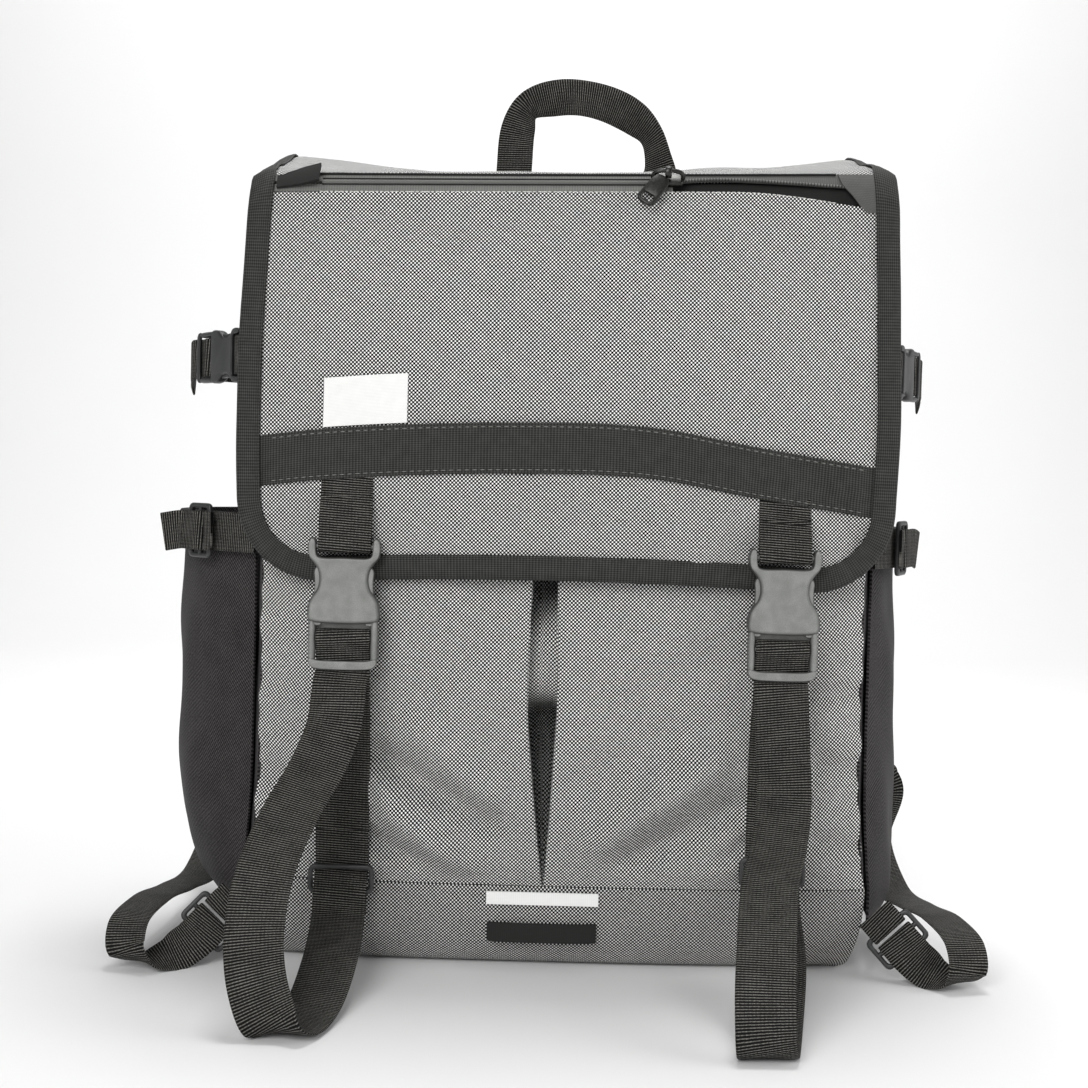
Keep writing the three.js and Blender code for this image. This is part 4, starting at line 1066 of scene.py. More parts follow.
@dataclass(frozen=True)
class BrushedMetal:
    """Dark plated zinc with fine scuffs."""

    name: str
    colour: Colour
    worn: Colour

    def material(self) -> bpy.types.Material:
        """Builds the metal's material."""
        kit = NodeKit(self.name)
        place = kit.object_place()
        scuff = kit.noise(place, 900.0, 4.0)
        slow = kit.noise(place, 160.0, 2.0)
        colour = kit.blend((scuff * 1.2 - 0.2).clamped(), self.colour, self.worn)
        normal = kit.bump(scuff, 0.00005, 0.4)
        return kit.finish({
            "Base Color": colour, "Roughness": 0.3 + slow * 0.2, "Normal": normal, "Metallic": 1.0,
        })


@dataclass(frozen=True)
class WovenTape:
    """Narrow tape or label stock with a very fine plain weave."""

    name: str
    light: Colour
    dark: Colour
    pitch: float = 0.0006
    roughness: float = 0.6
    share: float = 0.62
    contrast: float = 0.3

    def material(self) -> bpy.types.Material:
        """Builds the tape's material."""
        kit = NodeKit(self.name)
        u, v, place = kit.weave_place()
        turn = 2 * math.pi / self.pitch
        fine = (u * turn).sine() * 0.5 + (v * (turn * 0.7)).sine() * 0.5
        slow = kit.noise(place, 150.0, 3.0)
        tone = (self.share + fine * self.contrast + (slow - 0.5) * 0.5).clamped()
        colour = kit.blend(tone, self.dark, self.light)
        normal = kit.bump(fine, 0.00008, 0.6)
        return kit.finish({
            "Base Color": colour, "Roughness": self.roughness + (slow - 0.5) * 0.2, "Normal": normal,
            "Specular IOR Level": 0.35,
        })


@dataclass(frozen=True)
class PlainThread:
    """Sewing thread, with a faint twist in its tone."""

    name: str
    colour: Colour
    shade: Colour

    def material(self) -> bpy.types.Material:
        """Builds the thread's material."""
        kit = NodeKit(self.name)
        twist = kit.noise(kit.object_place(), 1500.0, 1.0)
        return kit.finish({
            "Base Color": kit.blend(twist, self.shade, self.colour), "Roughness": 0.6,
            "Specular IOR Level": 0.3,
        })


class Finishes:
    """Every finish of the bag, each made once."""

    def __init__(self) -> None:
        """Builds the materials."""
        self.grey = CheckWeave("grey_check_cloth", linear(250, 250, 248), linear(3, 3, 3)).material()
        # The tray is the same grey cloth with its pale yarn made darker: painted shade, for the light that
        # falls from above.
        self.tray = CheckWeave("grey_tray_cloth", linear(228, 228, 226), linear(3, 3, 3)).material()
        self.black = TwillCloth("black_pack_cloth", linear(86, 82, 83), linear(12, 11, 11)).material()
        self.pad = TwillCloth(
            "black_pad_cloth", linear(82, 78, 79), linear(13, 12, 12), mapped=False,
        ).material()
        self.webbing = RibbedWebbing(
            "black_ribbed_webbing", linear(132, 130, 125), linear(12, 12, 11),
        ).material()
        self.binding = WovenTape(
            "charcoal_binding", linear(80, 80, 77), linear(16, 16, 15),
            pitch=0.0013, roughness=0.8, share=0.32, contrast=0.45,
        ).material()
        self.loop = WovenTape(
            "black_loop_tape", linear(38, 38, 37), linear(16, 16, 15), pitch=0.0008, roughness=0.8,
        ).material()
        self.plastic = MouldedPlastic(
            "moulded_grey_plastic", linear(120, 121, 118), linear(160, 161, 158),
        ).material()
        self.dark_plastic = MouldedPlastic(
            "moulded_dark_plastic", linear(44, 45, 45), linear(66, 67, 66),
        ).material()
        self.metal = BrushedMetal("dark_zip_metal", linear(42, 42, 41), linear(84, 84, 82)).material()
        self.teeth = MouldedPlastic("pale_zip_teeth", linear(96, 97, 94), linear(150, 151, 148)).material()
        self.zip_tape = WovenTape(
            "grey_zip_tape", linear(126, 127, 123), linear(70, 71, 69), pitch=0.0011, roughness=0.8,
        ).material()
        self.patch = WovenTape(
            "grey_zip_patch", linear(96, 96, 94), linear(58, 58, 57), pitch=0.0009, roughness=0.8,
        ).material()
        self.label = WovenTape("white_woven_label", linear(252, 252, 250), linear(228, 228, 226)).material()
        self.pale = WovenTape(
            "pale_reflective_tape", linear(254, 254, 252), linear(238, 238, 238),
            pitch=0.0009, roughness=0.35,
        ).material()
        self.pale_thread = PlainThread("pale_thread", linear(226, 226, 222), linear(180, 180, 176)).material()
        self.grey_thread = PlainThread("grey_thread", linear(158, 158, 154), linear(96, 96, 93)).material()
        self.dark_thread = PlainThread("dark_thread", linear(60, 60, 58), linear(30, 30, 29)).material()


class Workshop:
    """Puts finished pieces on the bag and keeps what they share."""

    def __init__(self) -> None:
        """Makes the finishes."""
        self.finishes = Finishes()

    def add(
        self,
        piece: bpy.types.Object,
        finish: bpy.types.Material,
        slot: Slot,
        replaces: Sequence[str] = (),
        body: str = BAG,
    ) -> bpy.types.Object:
        """Dresses a piece and fixes it to its body.

        Args:
            piece: The finished object.
            finish: Its material.
            slot: Not used.
            replaces: Frame nodes that it stands for.
            body: The body that it moves with.

        Returns:
            The piece.
        """
        piece.data.materials.clear()
        piece.data.materials.append(finish)
        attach(piece, body)
        if replaces:
            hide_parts(*replaces)
        LOG.info("%s: %d faces on %s", piece.name, len(piece.data.polygons), body)
        return piece


@dataclass(frozen=True)
class StitchRow:
    """How a row of stitches is sewn, in millimetres."""

    pitch: float = 4.6
    length: float = 3.0
    thick: float = 0.5


class Sewing:
    """Lays thread along lines with geometry nodes."""

    INPUTS = ("Pitch", "Length", "Thick")

    def __init__(self, workshop: Workshop) -> None:
        """Builds the tree once."""
        self.workshop = workshop
        self.tree = bpy.data.node_groups.new("lay_stitches", "GeometryNodeTree")
        faces = self.tree.interface
        faces.new_socket("Line", in_out="INPUT", socket_type="NodeSocketGeometry")
        for name in self.INPUTS:
            faces.new_socket(name, in_out="INPUT", socket_type="NodeSocketFloat")
        faces.new_socket("Thread", in_out="INPUT", socket_type="NodeSocketMaterial")
        faces.new_socket("Stitches", in_out="OUTPUT", socket_type="NodeSocketGeometry")
        self._wire()

    def _wire(self) -> None:
        """Adds the tree's nodes and links."""
        nodes = self.tree.nodes
        link = self.tree.links.new
        given = nodes.new("NodeGroupInput")
        result = nodes.new("NodeGroupOutput")
        curve = nodes.new("GeometryNodeMeshToCurve")
        cut = nodes.new("GeometryNodeResampleCurve")
        cut.mode = "LENGTH"
        bead = nodes.new("GeometryNodeMeshUVSphere")
        bead.inputs["Segments"].default_value = 6
        bead.inputs["Rings"].default_value = 4
        bead.inputs["Radius"].default_value = 0.5
        tangent = nodes.new("GeometryNodeInputTangent")
        turn = nodes.new("FunctionNodeAlignRotationToVector")
        turn.axis = "Z"
        size = nodes.new("ShaderNodeCombineXYZ")
        place = nodes.new("GeometryNodeInstanceOnPoints")
        smooth = nodes.new("GeometryNodeSetShadeSmooth")
        real = nodes.new("GeometryNodeRealizeInstances")
        paint = nodes.new("GeometryNodeSetMaterial")
        link(given.outputs["Line"], curve.inputs["Mesh"])
        link(curve.outputs[0], cut.inputs["Curve"])
        link(given.outputs["Pitch"], cut.inputs["Length"])
        link(cut.outputs[0], place.inputs["Points"])
        link(bead.outputs["Mesh"], smooth.inputs["Geometry"])
        link(smooth.outputs[0], place.inputs["Instance"])
        link(tangent.outputs[0], turn.inputs["Vector"])
        link(turn.outputs[0], place.inputs["Rotation"])
        link(given.outputs["Thick"], size.inputs[0])
        link(given.outputs["Thick"], size.inputs[1])
        link(given.outputs["Length"], size.inputs[2])
        link(size.outputs[0], place.inputs["Scale"])
        link(place.outputs[0], real.inputs[0])
        link(real.outputs[0], paint.inputs["Geometry"])
        link(given.outputs["Thread"], paint.inputs["Material"])
        link(paint.outputs[0], result.inputs[0])

    def sew(
        self,
        name: str,
        lines: Iterable[Floats],
        row: StitchRow,
        thread: bpy.types.Material,
        slot: Slot,
    ) -> bpy.types.Object:
        """Lays one piece's stitches.

        Args:
            name: The piece's name.
            lines: The sewn lines, each a run of points.
            row: How they are sewn.
            thread: The thread's material.
            slot: Handed on to the workshop with the piece.

        Returns:
            The stitches as a plain mesh.
        """
        points, edges = [], []
        for line in lines:
            first = len(points)
            points.extend((np.asarray(line) * MM).tolist())
            edges.extend((first + i, first + i + 1) for i in range(len(line) - 1))
        path = bpy.data.meshes.new(f"{name}_path")
        path.from_pydata(points, edges, [])
        guide = linked(f"{name}_guide", path)
        sewn = guide.modifiers.new("stitches", "NODES")
        sewn.node_group = self.tree
        items = self.tree.interface.items_tree
        keys = {item.name: item.identifier for item in items if item.in_out == "INPUT"}
        for key, size in zip(self.INPUTS, (row.pitch, row.length, row.thick), strict=True):
            sewn[keys[key]] = size * MM
        sewn[keys["Thread"]] = thread
        bpy.context.view_layer.update()
        evaluated = guide.evaluated_get(bpy.context.evaluated_depsgraph_get())
        mesh = bpy.data.meshes.new_from_object(evaluated)
        mesh.name = name
        bpy.data.objects.remove(guide)
        bpy.data.meshes.remove(path)
        return self.workshop.add(linked(name, mesh), thread, slot)


@dataclass
class FlapSurface:
    """The flap's outer face: x across it and a row along it from the back seam to the hem."""

    thick: float = 2.4
    bow: float = 14
    sag: float = 17
    tilt: float = 4
    rise: float = 3
    fold_lean: float = 0.0235
    fold_level_x: float = 24
    fold_dip: float = 2
    hem_rise: float = 0.14
    hem_corner: float = 50
    seam_x: float = 184
    top_end: float = 5.1
    zip_start: float = 5.13
    zip_end: float = 5.92
    front_start: float = 5.95
    halves: tuple = (202, 203, 204, 200, 194, 192, 192, 193, 195, 196, 195, 194)
    ys: tuple = (93, 92.5, 83, 0, -70, -92, -104, -109, -113, -114, -112, -108)
    zs: tuple = (494, 510, 520, 503, 490.5, 484, 470.5, 441, 385, 325, 280, 235)
    droop: float = 9
    front_droop: float = 5
    droop_from: float = 0.9
    rim_clear: float = 4
    fold_gain: float = 1.3
    front_slack: float = 1.5
    top_slack: float = 1.4
    lip_drop: float = 0.42
    folds: tuple = (
        Fold((-152, 452), (-112, 462), -1.8, 8),
        Fold((-98, 455), (-68, 447), -1.5, 8),
        Fold((-60, 446), (-30, 455), -1.0, 7),
        Fold((100, 299), (80, 251), 2.2, 8),
        Fold((138, 312), (178, 265), -1.8, 9),
        Fold((-60, 280), (40, 268), -1.2, 14),
        Fold((20, 440), (60, 425), -1.0, 10),
    )

    def __post_init__(self) -> None:
        """Lays the middle line."""
        self.curve = SmoothPath(np.stack([self.halves, self.ys, self.zs], -1))
        self.last = len(self.halves) - 1

    def middle(self, row: Floats) -> Floats:
        """Half width and the middle line's y and z at a row."""
        return self.curve.at(np.clip(np.asarray(row, float) / self.last, 0, 1))

    def plain(self, x: Floats, row: Floats) -> Floats:
        """The face without its folds.

        Args:
            x: Places across the flap.
            row: Rows along it.

        Returns:
            A point for each pair.
        """
        x, row = np.broadcast_arrays(np.asarray(x, float), np.asarray(row, float))
        middle = self.middle(row)
        side = x / middle[..., 0]
        share = side**2
        bow = self.bow * smooth_step(3, 7, row) * share
        fade = 1 - smooth_step(2, 5, row)
        rise = self.rise * smooth_step(0, 60, x) * (1 - smooth_step(80, 180, x))
        sag = fade * (self.sag * (1 - share) - self.tilt * (1 + side) - rise)
        fold = smooth_step(2, 4.5, row) * (1 - smooth_step(6, 8, row))
        lean = fold * (self.fold_lean * (x - self.fold_level_x) - self.fold_dip * (1 - share))
        return np.stack([x, middle[..., 1] + bow, middle[..., 2] - sag + lean], -1)

    def normal(self, x: Floats, row: Floats) -> Floats:
        """Outward directions of the face without its folds."""
        across = self.plain(np.asarray(x) + 1, row) - self.plain(np.asarray(x) - 1, row)
        downward = self.plain(x, np.asarray(row) + 0.02) - self.plain(x, np.asarray(row) - 0.02)
        return unit(np.cross(downward, across))

    def relief(self, x: Floats, row: Floats) -> Floats:
        """How far folds and slack lift the face."""
        points = self.plain(x, row)
        falling = smooth_step(5.9, 6.6, row) * smooth_step(0, 0.5, self.hem_row(x) - row)
        lift = folded(self.folds, points[..., 0], points[..., 2]) * falling
        lift = lift * self.fold_gain + rumple(points[..., 0], points[..., 2], self.front_slack) * falling
        slack = rumple(points[..., 0], points[..., 1] * 1.3, self.top_slack, 2.0)
        return lift + slack * (1 - smooth_step(4, 5, row))

    def point(self, x: Floats, row: Floats, lift: float = 0.0) -> Floats:
        """The dressed face, or a face lifted off it.

        Args:
            x: Places across the flap.
            row: Rows along it.
            lift: How far off the face.

        Returns:
            A point for each pair.
        """
        x, row = np.broadcast_arrays(np.asarray(x, float), np.asarray(row, float))
        points = self.plain(x, row) + self.normal(x, row) * (self.relief(x, row) + lift)[..., None]
        return self.drooped(points, row)

    def drooped(self, points: Floats, row: Floats) -> Floats:
        """Points let down where the flap's top falls away to its side edges."""
        past = np.maximum(np.abs(points[..., 0]) / self.middle(row)[..., 0] - self.droop_from, 0)
        deep = mix(self.droop, self.front_droop, smooth_step(3.2, 4.8, row)) * (1 - smooth_step(5, 7, row))
        drop = deep * np.minimum(past / (1 - self.droop_from), 1.2) ** 2
        return points - UPWARD * drop[..., None]

    def lip_row(self, x: Floats) -> Floats:
        """The row of the front fall's upper edge, which hangs lower where the zip is open."""
        return self.front_start + self.lip_drop * smooth_step(90, 200, x)

    def last_row(
        self, x: Floats, axis: int, limit: Floats, rows: tuple[float, float], halvings: int,
    ) -> Floats:
        """Finds by halving the last row whose place along an axis is past a limit.

        Args:
            x: Places across the flap.
            axis: The axis, 1 for Y or 2 for Z.
            limit: The limit at each place.
            rows: The first and last rows that are looked at.
            halvings: How many times that span is halved.

        Returns:
            A row for each place.
        """
        low, high = (np.full(x.shape, row) for row in rows)
        for _ in range(halvings):
            middle = (low + high) / 2
            past = self.plain(x, middle)[..., axis] > limit
            low = np.where(past, middle, low)
            high = np.where(past, high, middle)
        return low

    def row_at(self, x: Floats, z: Floats) -> Floats:
        """The row at a height on the flap's front fall."""
        x, z = np.broadcast_arrays(np.asarray(x, float), np.asarray(z, float))
        return self.last_row(x, 2, z, (self.front_start, self.last + 0.5), 36)

    def rim_z(self, x: Floats, y: Floats) -> Floats:
        """Height of the body's rim under the flap's top."""
        x, y = np.broadcast_arrays(np.asarray(x, float), np.asarray(y, float))
        row = self.last_row(x, 1, y, (1.8, 6.0), 30)
        return self.plain(x, row)[..., 2] - self.thick - self.rim_clear

    def hem_row(self, x: Floats) -> Floats:
        """The row of the arched hem."""
        return self.last - self.hem_rise * (1 - (np.asarray(x) / self.seam_x) ** 2)

    def edge(self, row: Floats) -> Floats:
        """Half width at a row, drawn in round the lower corners."""
        row = np.asarray(row, float)
        foot = self.plain(self.seam_x, self.last)[..., 2]
        above = self.plain(np.full(row.shape, self.seam_x), row)[..., 2] - foot
        left = self.hem_corner - np.clip(above, 0, self.hem_corner)
        return self.middle(row)[..., 0] - self.hem_corner + np.sqrt(self.hem_corner**2 - left**2)

    def net(self, rows: Floats, columns: int) -> tuple[Floats, Floats]:
        """Places of a net across the flap.

        Args:
            rows: Its rows.
            columns: How many spans it has across.

        Returns:
            Its x and row at each point.
        """
        spread = np.linspace(-1, 1, columns + 1)
        return self.edge(rows)[:, None] * spread[None, :], np.repeat(rows[:, None], columns + 1, 1)

    def front_net(self, spans: int, columns: int) -> tuple[Floats, Floats]:
        """Places of the front fall's net, its lowest rows raised to the arch of the hem."""
        shares = 1 - (1 - np.linspace(0, 1, spans + 1)) ** 1.25
        x, row = self.net(mix(self.front_start, self.last, shares), columns)
        row = row + (self.lip_row(x) - self.front_start) * (1 - smooth_step(0, 0.25, shares))[:, None]
        return x, row - smooth_step(0.75, 1, shares)[:, None] * (self.last - self.hem_row(x))


FLAP = FlapSurface()


@dataclass
class BodyShell:
    """The cloth tub: front with its inverted pleat, two sides, a padded back and the bottom tray."""

    seam_x: float = 184
    back_seam_x: float = 178
    front_y: float = -80
    back_y: float = 84
    base_z: float = 52
    rounding: float = 3
    pleat_x: float = -8
    padding: float = 8
    left_columns: int = 61
    pleat_columns: int = 37
    right_columns: int = 65
    pleat_reach: float = 5
    strap_x: float = 130
    strap_calm: float = 24
    pleat_calm: float = 22
    fold_gain: float = 2.1
    front_slack: float = 2.6
    side_slack: float = 2.0
    pucker: float = 0.6
    corner_passes: int = 60
    rows: Table = field(default_factory=lambda: Table(
        (0, 0.03, 0.12, 0.3, 0.5, 0.75, 1),
        front=(12, 16, 20, 21, 19, 15, 8),
        side=(5, 8, 10, 11, 10, 8, 4),
        back=(4, 5, 6, 6, 6, 5, 3),
        widen=(6, 4, 1, 0, 0, -1, -2),
    ))
    pleat: Table = field(default_factory=lambda: Table(
        (52, 60, 80, 110, 150, 158, 166, 175, 190, 207, 222, 238, 480),
        half=(0.5, 1.2, 3, 5.4, 8.2, 8.5, 8.7, 8.8, 8.7, 8.4, 8, 7.5, 7.5),
        depth=(2, 8, 38, 64, 68, 44, 18, 10, 9, 12, 28, 46, 46),
        middle=(-8.2, -8.3, -8.9, -9.8, -10.9, -11, -11.1, -11.1, -11.1, -11.1, -11.1, -11.1, -11),
    ))
    tray: Table = field(default_factory=lambda: Table(
        (0, 3, 8, 16, 28, 40, 52), inset=(20, 13, 8.5, 4, 0.5, -1, 0),
    ))
    folds: tuple = (
        Fold((-108, 129), (-42, 90), -5.0, 9),
        Fold((-117, 111), (-55, 62), 4.6, 9),
        Fold((-117, 82), (-86, 64), -4.2, 8),
        Fold((-87, 146), (-40, 108), 2.4, 10),
        Fold((-180, 117), (-166, 112), -4.0, 9),
        Fold((-176, 92), (-160, 84), 2.5, 8),
        Fold((66, 148), (8, 113), -3.4, 13),
        Fold((95, 132), (27, 83), 4.6, 12),
        Fold((104, 102), (46, 70), -4.4, 11),
        Fold((94, 58), (112, 66), 2.0, 7),
        Fold((100, 70), (116, 82), -2.4, 7),
        Fold((150, 174), (182, 174), -2.6, 6),
        Fold((160, 130), (184, 126), -2.4, 8),
        Fold((158, 82), (184, 78), -2.6, 7),
        Fold((40, 160), (90, 196), -2.0, 14),
        Fold((-60, 190), (-100, 160), -1.8, 14),
        Fold((-40, 215), (-70, 150), 1.6, 12),
    )

    def plan(self, wall: str, s: Floats, share: Floats) -> tuple[Floats, Floats]:
        """Plan of one wall.

        Args:
            wall: Its name.
            s: Places from -1 to 1 to the right, seen from outside.
            share: Share of the height.

        Returns:
            Its x and y.
        """
        widen = self.rows.at("widen", share)
        if wall == "front":
            y = self.front_y - self.rows.at("front", share) * (1 - np.abs(s) ** self.rounding)
            return s * (self.seam_x + widen), y
        if wall == "back":
            y = self.back_y + self.rows.at("back", share) * (1 - np.abs(s) ** (self.rounding + 1))
            return -s * (self.back_seam_x + widen), y
        if wall == "left":
            x, y = self.plan("right", -s, share)
            return -x, y
        seam = mix(self.seam_x, self.back_seam_x, (s + 1) / 2) + widen
        bulge = self.rows.at("side", share) * (1 - np.abs(s) ** self.rounding)
        return seam + bulge, mix(self.front_y, self.back_y, (s + 1) / 2)

    def wall(self, x: Floats, y: Floats, share: Floats) -> Floats:
        """Points of a wall from its plan and share of the height."""
        z = mix(self.base_z + GAP, FLAP.rim_z(x, y), share)
        return np.stack(np.broadcast_arrays(x, y, z), -1)

    def front_face_y(self, x: Floats, z: Floats) -> Floats:
        """The front wall's face at a height, without its pleat and folds."""
        share = np.clip((z - self.base_z) / (FLAP.rim_z(x, self.front_y) - self.base_z), 0, 1)
        return self.plan("front", x / (self.seam_x + self.rows.at("widen", share)), share)[1]

    def tray_face_y(self, x: Floats, z: Floats) -> Floats:
        """The tray's front face at a height."""
        y = self.plan("front", np.asarray(x) / (self.seam_x + self.rows.at("widen", 0.0)), 0.0)[1]
        return y + self.tray.at("inset", z)

    def front_net(self) -> tuple[Floats, Floats]:
        """The front wall's net laid smooth, and with the pleat's turned edges and the cloth's folds."""
        shares = np.concatenate([np.linspace(0, 0.08, 12)[:-1], np.linspace(0.08, 1, 112)])
        lines, flat_lines = [], []
        for share in shares:
            half = float(self.seam_x + self.rows.at("widen", share) - GAP / 2)
            z = float(mix(self.base_z, FLAP.rim_z(0, self.front_y), share))
            open_half = float(self.pleat.at("half", z))
            depth = float(self.pleat.at("depth", z))
            centre = float(self.pleat.at("middle", z))
            reach = self.pleat_reach
            right = [
                (open_half * 0.85, depth), (open_half * 1.05, depth * 0.6), (open_half, 2.2),
                (open_half + 0.1, 0.4), (open_half + 1.8, -0.5), (open_half + reach, 0),
            ]
            left = [(-aside, deep) for aside, deep in right[::-1]]
            turn = np.array([*left, (0, depth + 0.8), *right])
            pleat = SmoothPath(np.c_[turn, np.zeros(len(turn))]).at(np.linspace(0, 1, self.pleat_columns))
            x = np.concatenate([
                np.linspace(-half, centre - open_half - reach, self.left_columns + 1)[:-1],
                centre + pleat[:, 0],
                np.linspace(centre + open_half + reach, half, self.right_columns + 1)[1:],
            ])
            back = np.concatenate([np.zeros(self.left_columns), pleat[:, 1], np.zeros(self.right_columns)])
            _, y = self.plan("front", np.clip(x / (half + GAP / 2), -1, 1), share)
            lines.append(self.wall(x, y + back, share))
            flat_lines.append(self.wall(x, y, share))
        grid = np.array(lines)
        x, z = grid[..., 0], grid[..., 2]
        near_pleat = np.exp(-(((x - self.pleat_x) / self.pleat_calm) ** 2))
        calm = smooth_step(0, 0.05, shares)[:, None] * (1 - near_pleat)
        lift = (folded(self.folds, x, z) * self.fold_gain + rumple(x, z, self.front_slack, 0.7)) * calm
        hold = 1 - np.abs(x / (self.seam_x + 4)) ** 14
        strapped = np.exp(-(((np.abs(x) - self.strap_x) / self.strap_calm) ** 4))
        lift = np.where(lift > 0, lift * (1 - strapped), lift)
        grid[..., 1] -= lift * np.clip(hold, 0.15, 1)
        waves = np.sin(z * 0.117 + np.sign(x) * 0.8) + np.sin(z * 0.291 + 1.3)
        pucker = smooth_step(140, 184, np.abs(x)) * waves * (1 - smooth_step(230, 260, z))
        grid[..., 0] -= np.sign(x) * pucker * self.pucker * smooth_step(0, 0.05, shares)[:, None]
        return np.array(flat_lines), grid

    def side_net(self, side: Side) -> Floats:
        """A side wall's net."""
        end = 1 - GAP / 2 / self.back_y
        s = np.linspace(-end, end, 44)[None, :]
        share = np.linspace(0, 1, 96)[:, None]
        x, y = self.plan(side.word, s, share)
        grid = self.wall(x, y, share)
        calm = (1 - np.abs(s) ** 6) * smooth_step(0, 0.05, share)
        lift = rumple(grid[..., 1] * 1.5, grid[..., 2], self.side_slack, side.value * 1.3) * calm
        grid[..., 0] += side.value * lift
        return grid

    def back_net(self) -> Floats:
        """The padded back's net, quilted by two upright seams and three level ones."""
        end = 1 - GAP / 2 / self.back_y
        s = np.linspace(-end, end, 96)[None, :]
        share = np.linspace(0, 1, 104)[:, None]
        x, y = self.plan("back", s, share)
        grid = self.wall(x, y, share)
        seams = np.exp(-(((np.abs(grid[..., 0]) - 62) / 5) ** 2))
        for height in (150, 270, 390):
            seams = np.maximum(seams, np.exp(-(((grid[..., 2] - height) / 5) ** 2)))
        rim = (1 - np.abs(s) ** 8) * smooth_step(0, 0.04, share) * smooth_step(0, 0.04, 1 - share)
        grid[..., 1] += ((1 - seams) * 2.6 - 1.2 + rumple(grid[..., 0], grid[..., 2], 0.8, 4.0)) * rim
        return grid

    def tray_draft(self) -> Draft:
        """The bottom tray: a tub with rounded lower edges.

        Returns:
            The drafted tray, its faces outward.
        """
        counts = {"front": 112, "right": 48, "back": 100, "left": 48}
        plan = []
        for wall, count in counts.items():
            s = np.linspace(-1, 1, count + 1)[:-1]
            plan.append(np.stack(self.plan(wall, s, np.zeros_like(s)), -1))
        loop = np.concatenate(plan)
        along = unit(np.roll(loop, -1, 0) - np.roll(loop, 1, 0))
        out = np.stack([along[:, 1], -along[:, 0]], -1)
        for _ in range(self.corner_passes):
            out = unit(out + 0.5 * np.roll(out, 1, 0) + 0.5 * np.roll(out, -1, 0))
        heights = np.array([52, 50.6, 49, 46, 42, 38, 33, 28, 23, 19, 15, 11, 8, 5.5, 3.6, 2.2, 1.1, 0.4, 0])
        angle = np.linspace(0, 2 * math.pi, len(loop), endpoint=False)
        travel = np.cumsum(np.linalg.norm(loop - np.roll(loop, 1, 0), axis=-1))

        def ring(inset: float, z: float, slack: float) -> Floats:
            """One ring of the tub."""
            wave = slack * (np.sin(travel * 0.043 + 0.4) + 0.7 * np.sin(travel * 0.091 + 2.0)) / 1.7
            flat = loop - out * (inset - wave)[:, None]
            return np.c_[flat, np.full(len(loop), z)]

        slack = smooth_step(2, 14, heights) * (1 - smooth_step(40, 52, heights)) * 1.8
        outer = np.array([
            ring(float(self.tray.at("inset", z)), z, k) for z, k in zip(heights, slack, strict=True)
        ])
        inside = heights[::-1]
        inner = np.array([
            ring(float(self.tray.at("inset", z)) + CLOTH, z + CLOTH * (1 - z / self.base_z), k)
            for z, k in zip(inside, slack[::-1], strict=True)
        ])
        under = np.array([np.c_[loop * k - out * 16 * k, np.zeros(len(loop))] for k in (0.8, 0.5, 0.2)])
        over = under[::-1] + np.array([0, 0, CLOTH])
        rings = np.concatenate([outer, under])
        rings_in = np.concatenate([over, inner])
        draft = Draft()
        wrap = np.r_[travel, travel[-1] + np.linalg.norm(loop[0] - loop[-1])]
        index = []
        for net in (rings, rings_in):
            weave = np.stack(np.broadcast_arrays(wrap[None, :], -travelled(net[:, 0])[:, None]), -1)
            index.append(draft.add_grid(net, weave, wrap=True, flip=True))
        closed = np.r_[0:len(loop), 0]
        edge = np.stack([wrap, np.zeros_like(wrap)], -1)
        draft.join_lines(index[0][0][closed], index[1][-1][closed], edge)
        middle = draft.add_points(np.array([[0, 0, 0.0], [0, 0, CLOTH]]))
        for ring_index, centre in ((index[0][-1], middle), (index[1][0], middle + 1)):
            for j in range(len(loop)):
                corners = (ring_index[j], ring_index[(j + 1) % len(loop)], centre)
                if centre == middle:
                    corners = corners[::-1]
                draft.add_face(corners, [(angle[j] * 30, 0)] * 3)
        return draft.turned_out()

    def build(self, shop: Workshop) -> None:
        """Builds and dresses the tub's panels."""
        look = shop.finishes
        smooth, front = self.front_net()
        weave = parted_weave(smooth, self.left_columns + self.pleat_columns // 2)
        made = cloth_shell(front, CLOTH, weave).piece("cloth_front_panel", 70)
        shop.add(made, look.grey, Slot.GREY_CLOTH, ["front_panel"])
        flat = (flat_size(front)[0], flat_size(smooth)[1])
        flat_area(front)
        for side in Side:
            net = self.side_net(side)
            made = cloth_shell(net, CLOTH).piece(f"cloth_side_panel_{side.word}")
            shop.add(made, look.black, Slot.BLACK_CLOTH, [f"side_panel_{side.word}"])
            flat_size(net)
        back = self.back_net()
        made = cloth_shell(back, self.padding).piece("padded_back_panel")
        shop.add(made, look.black, Slot.BLACK_CLOTH, ["back_panel"])
        made = self.tray_draft().piece("cloth_bottom_tray")
        # The tray takes the darker copy of the grey cloth: painted shade.
        shop.add(made, look.tray, Slot.GREY_CLOTH, ["bottom_panel"])


BODY = BodyShell()


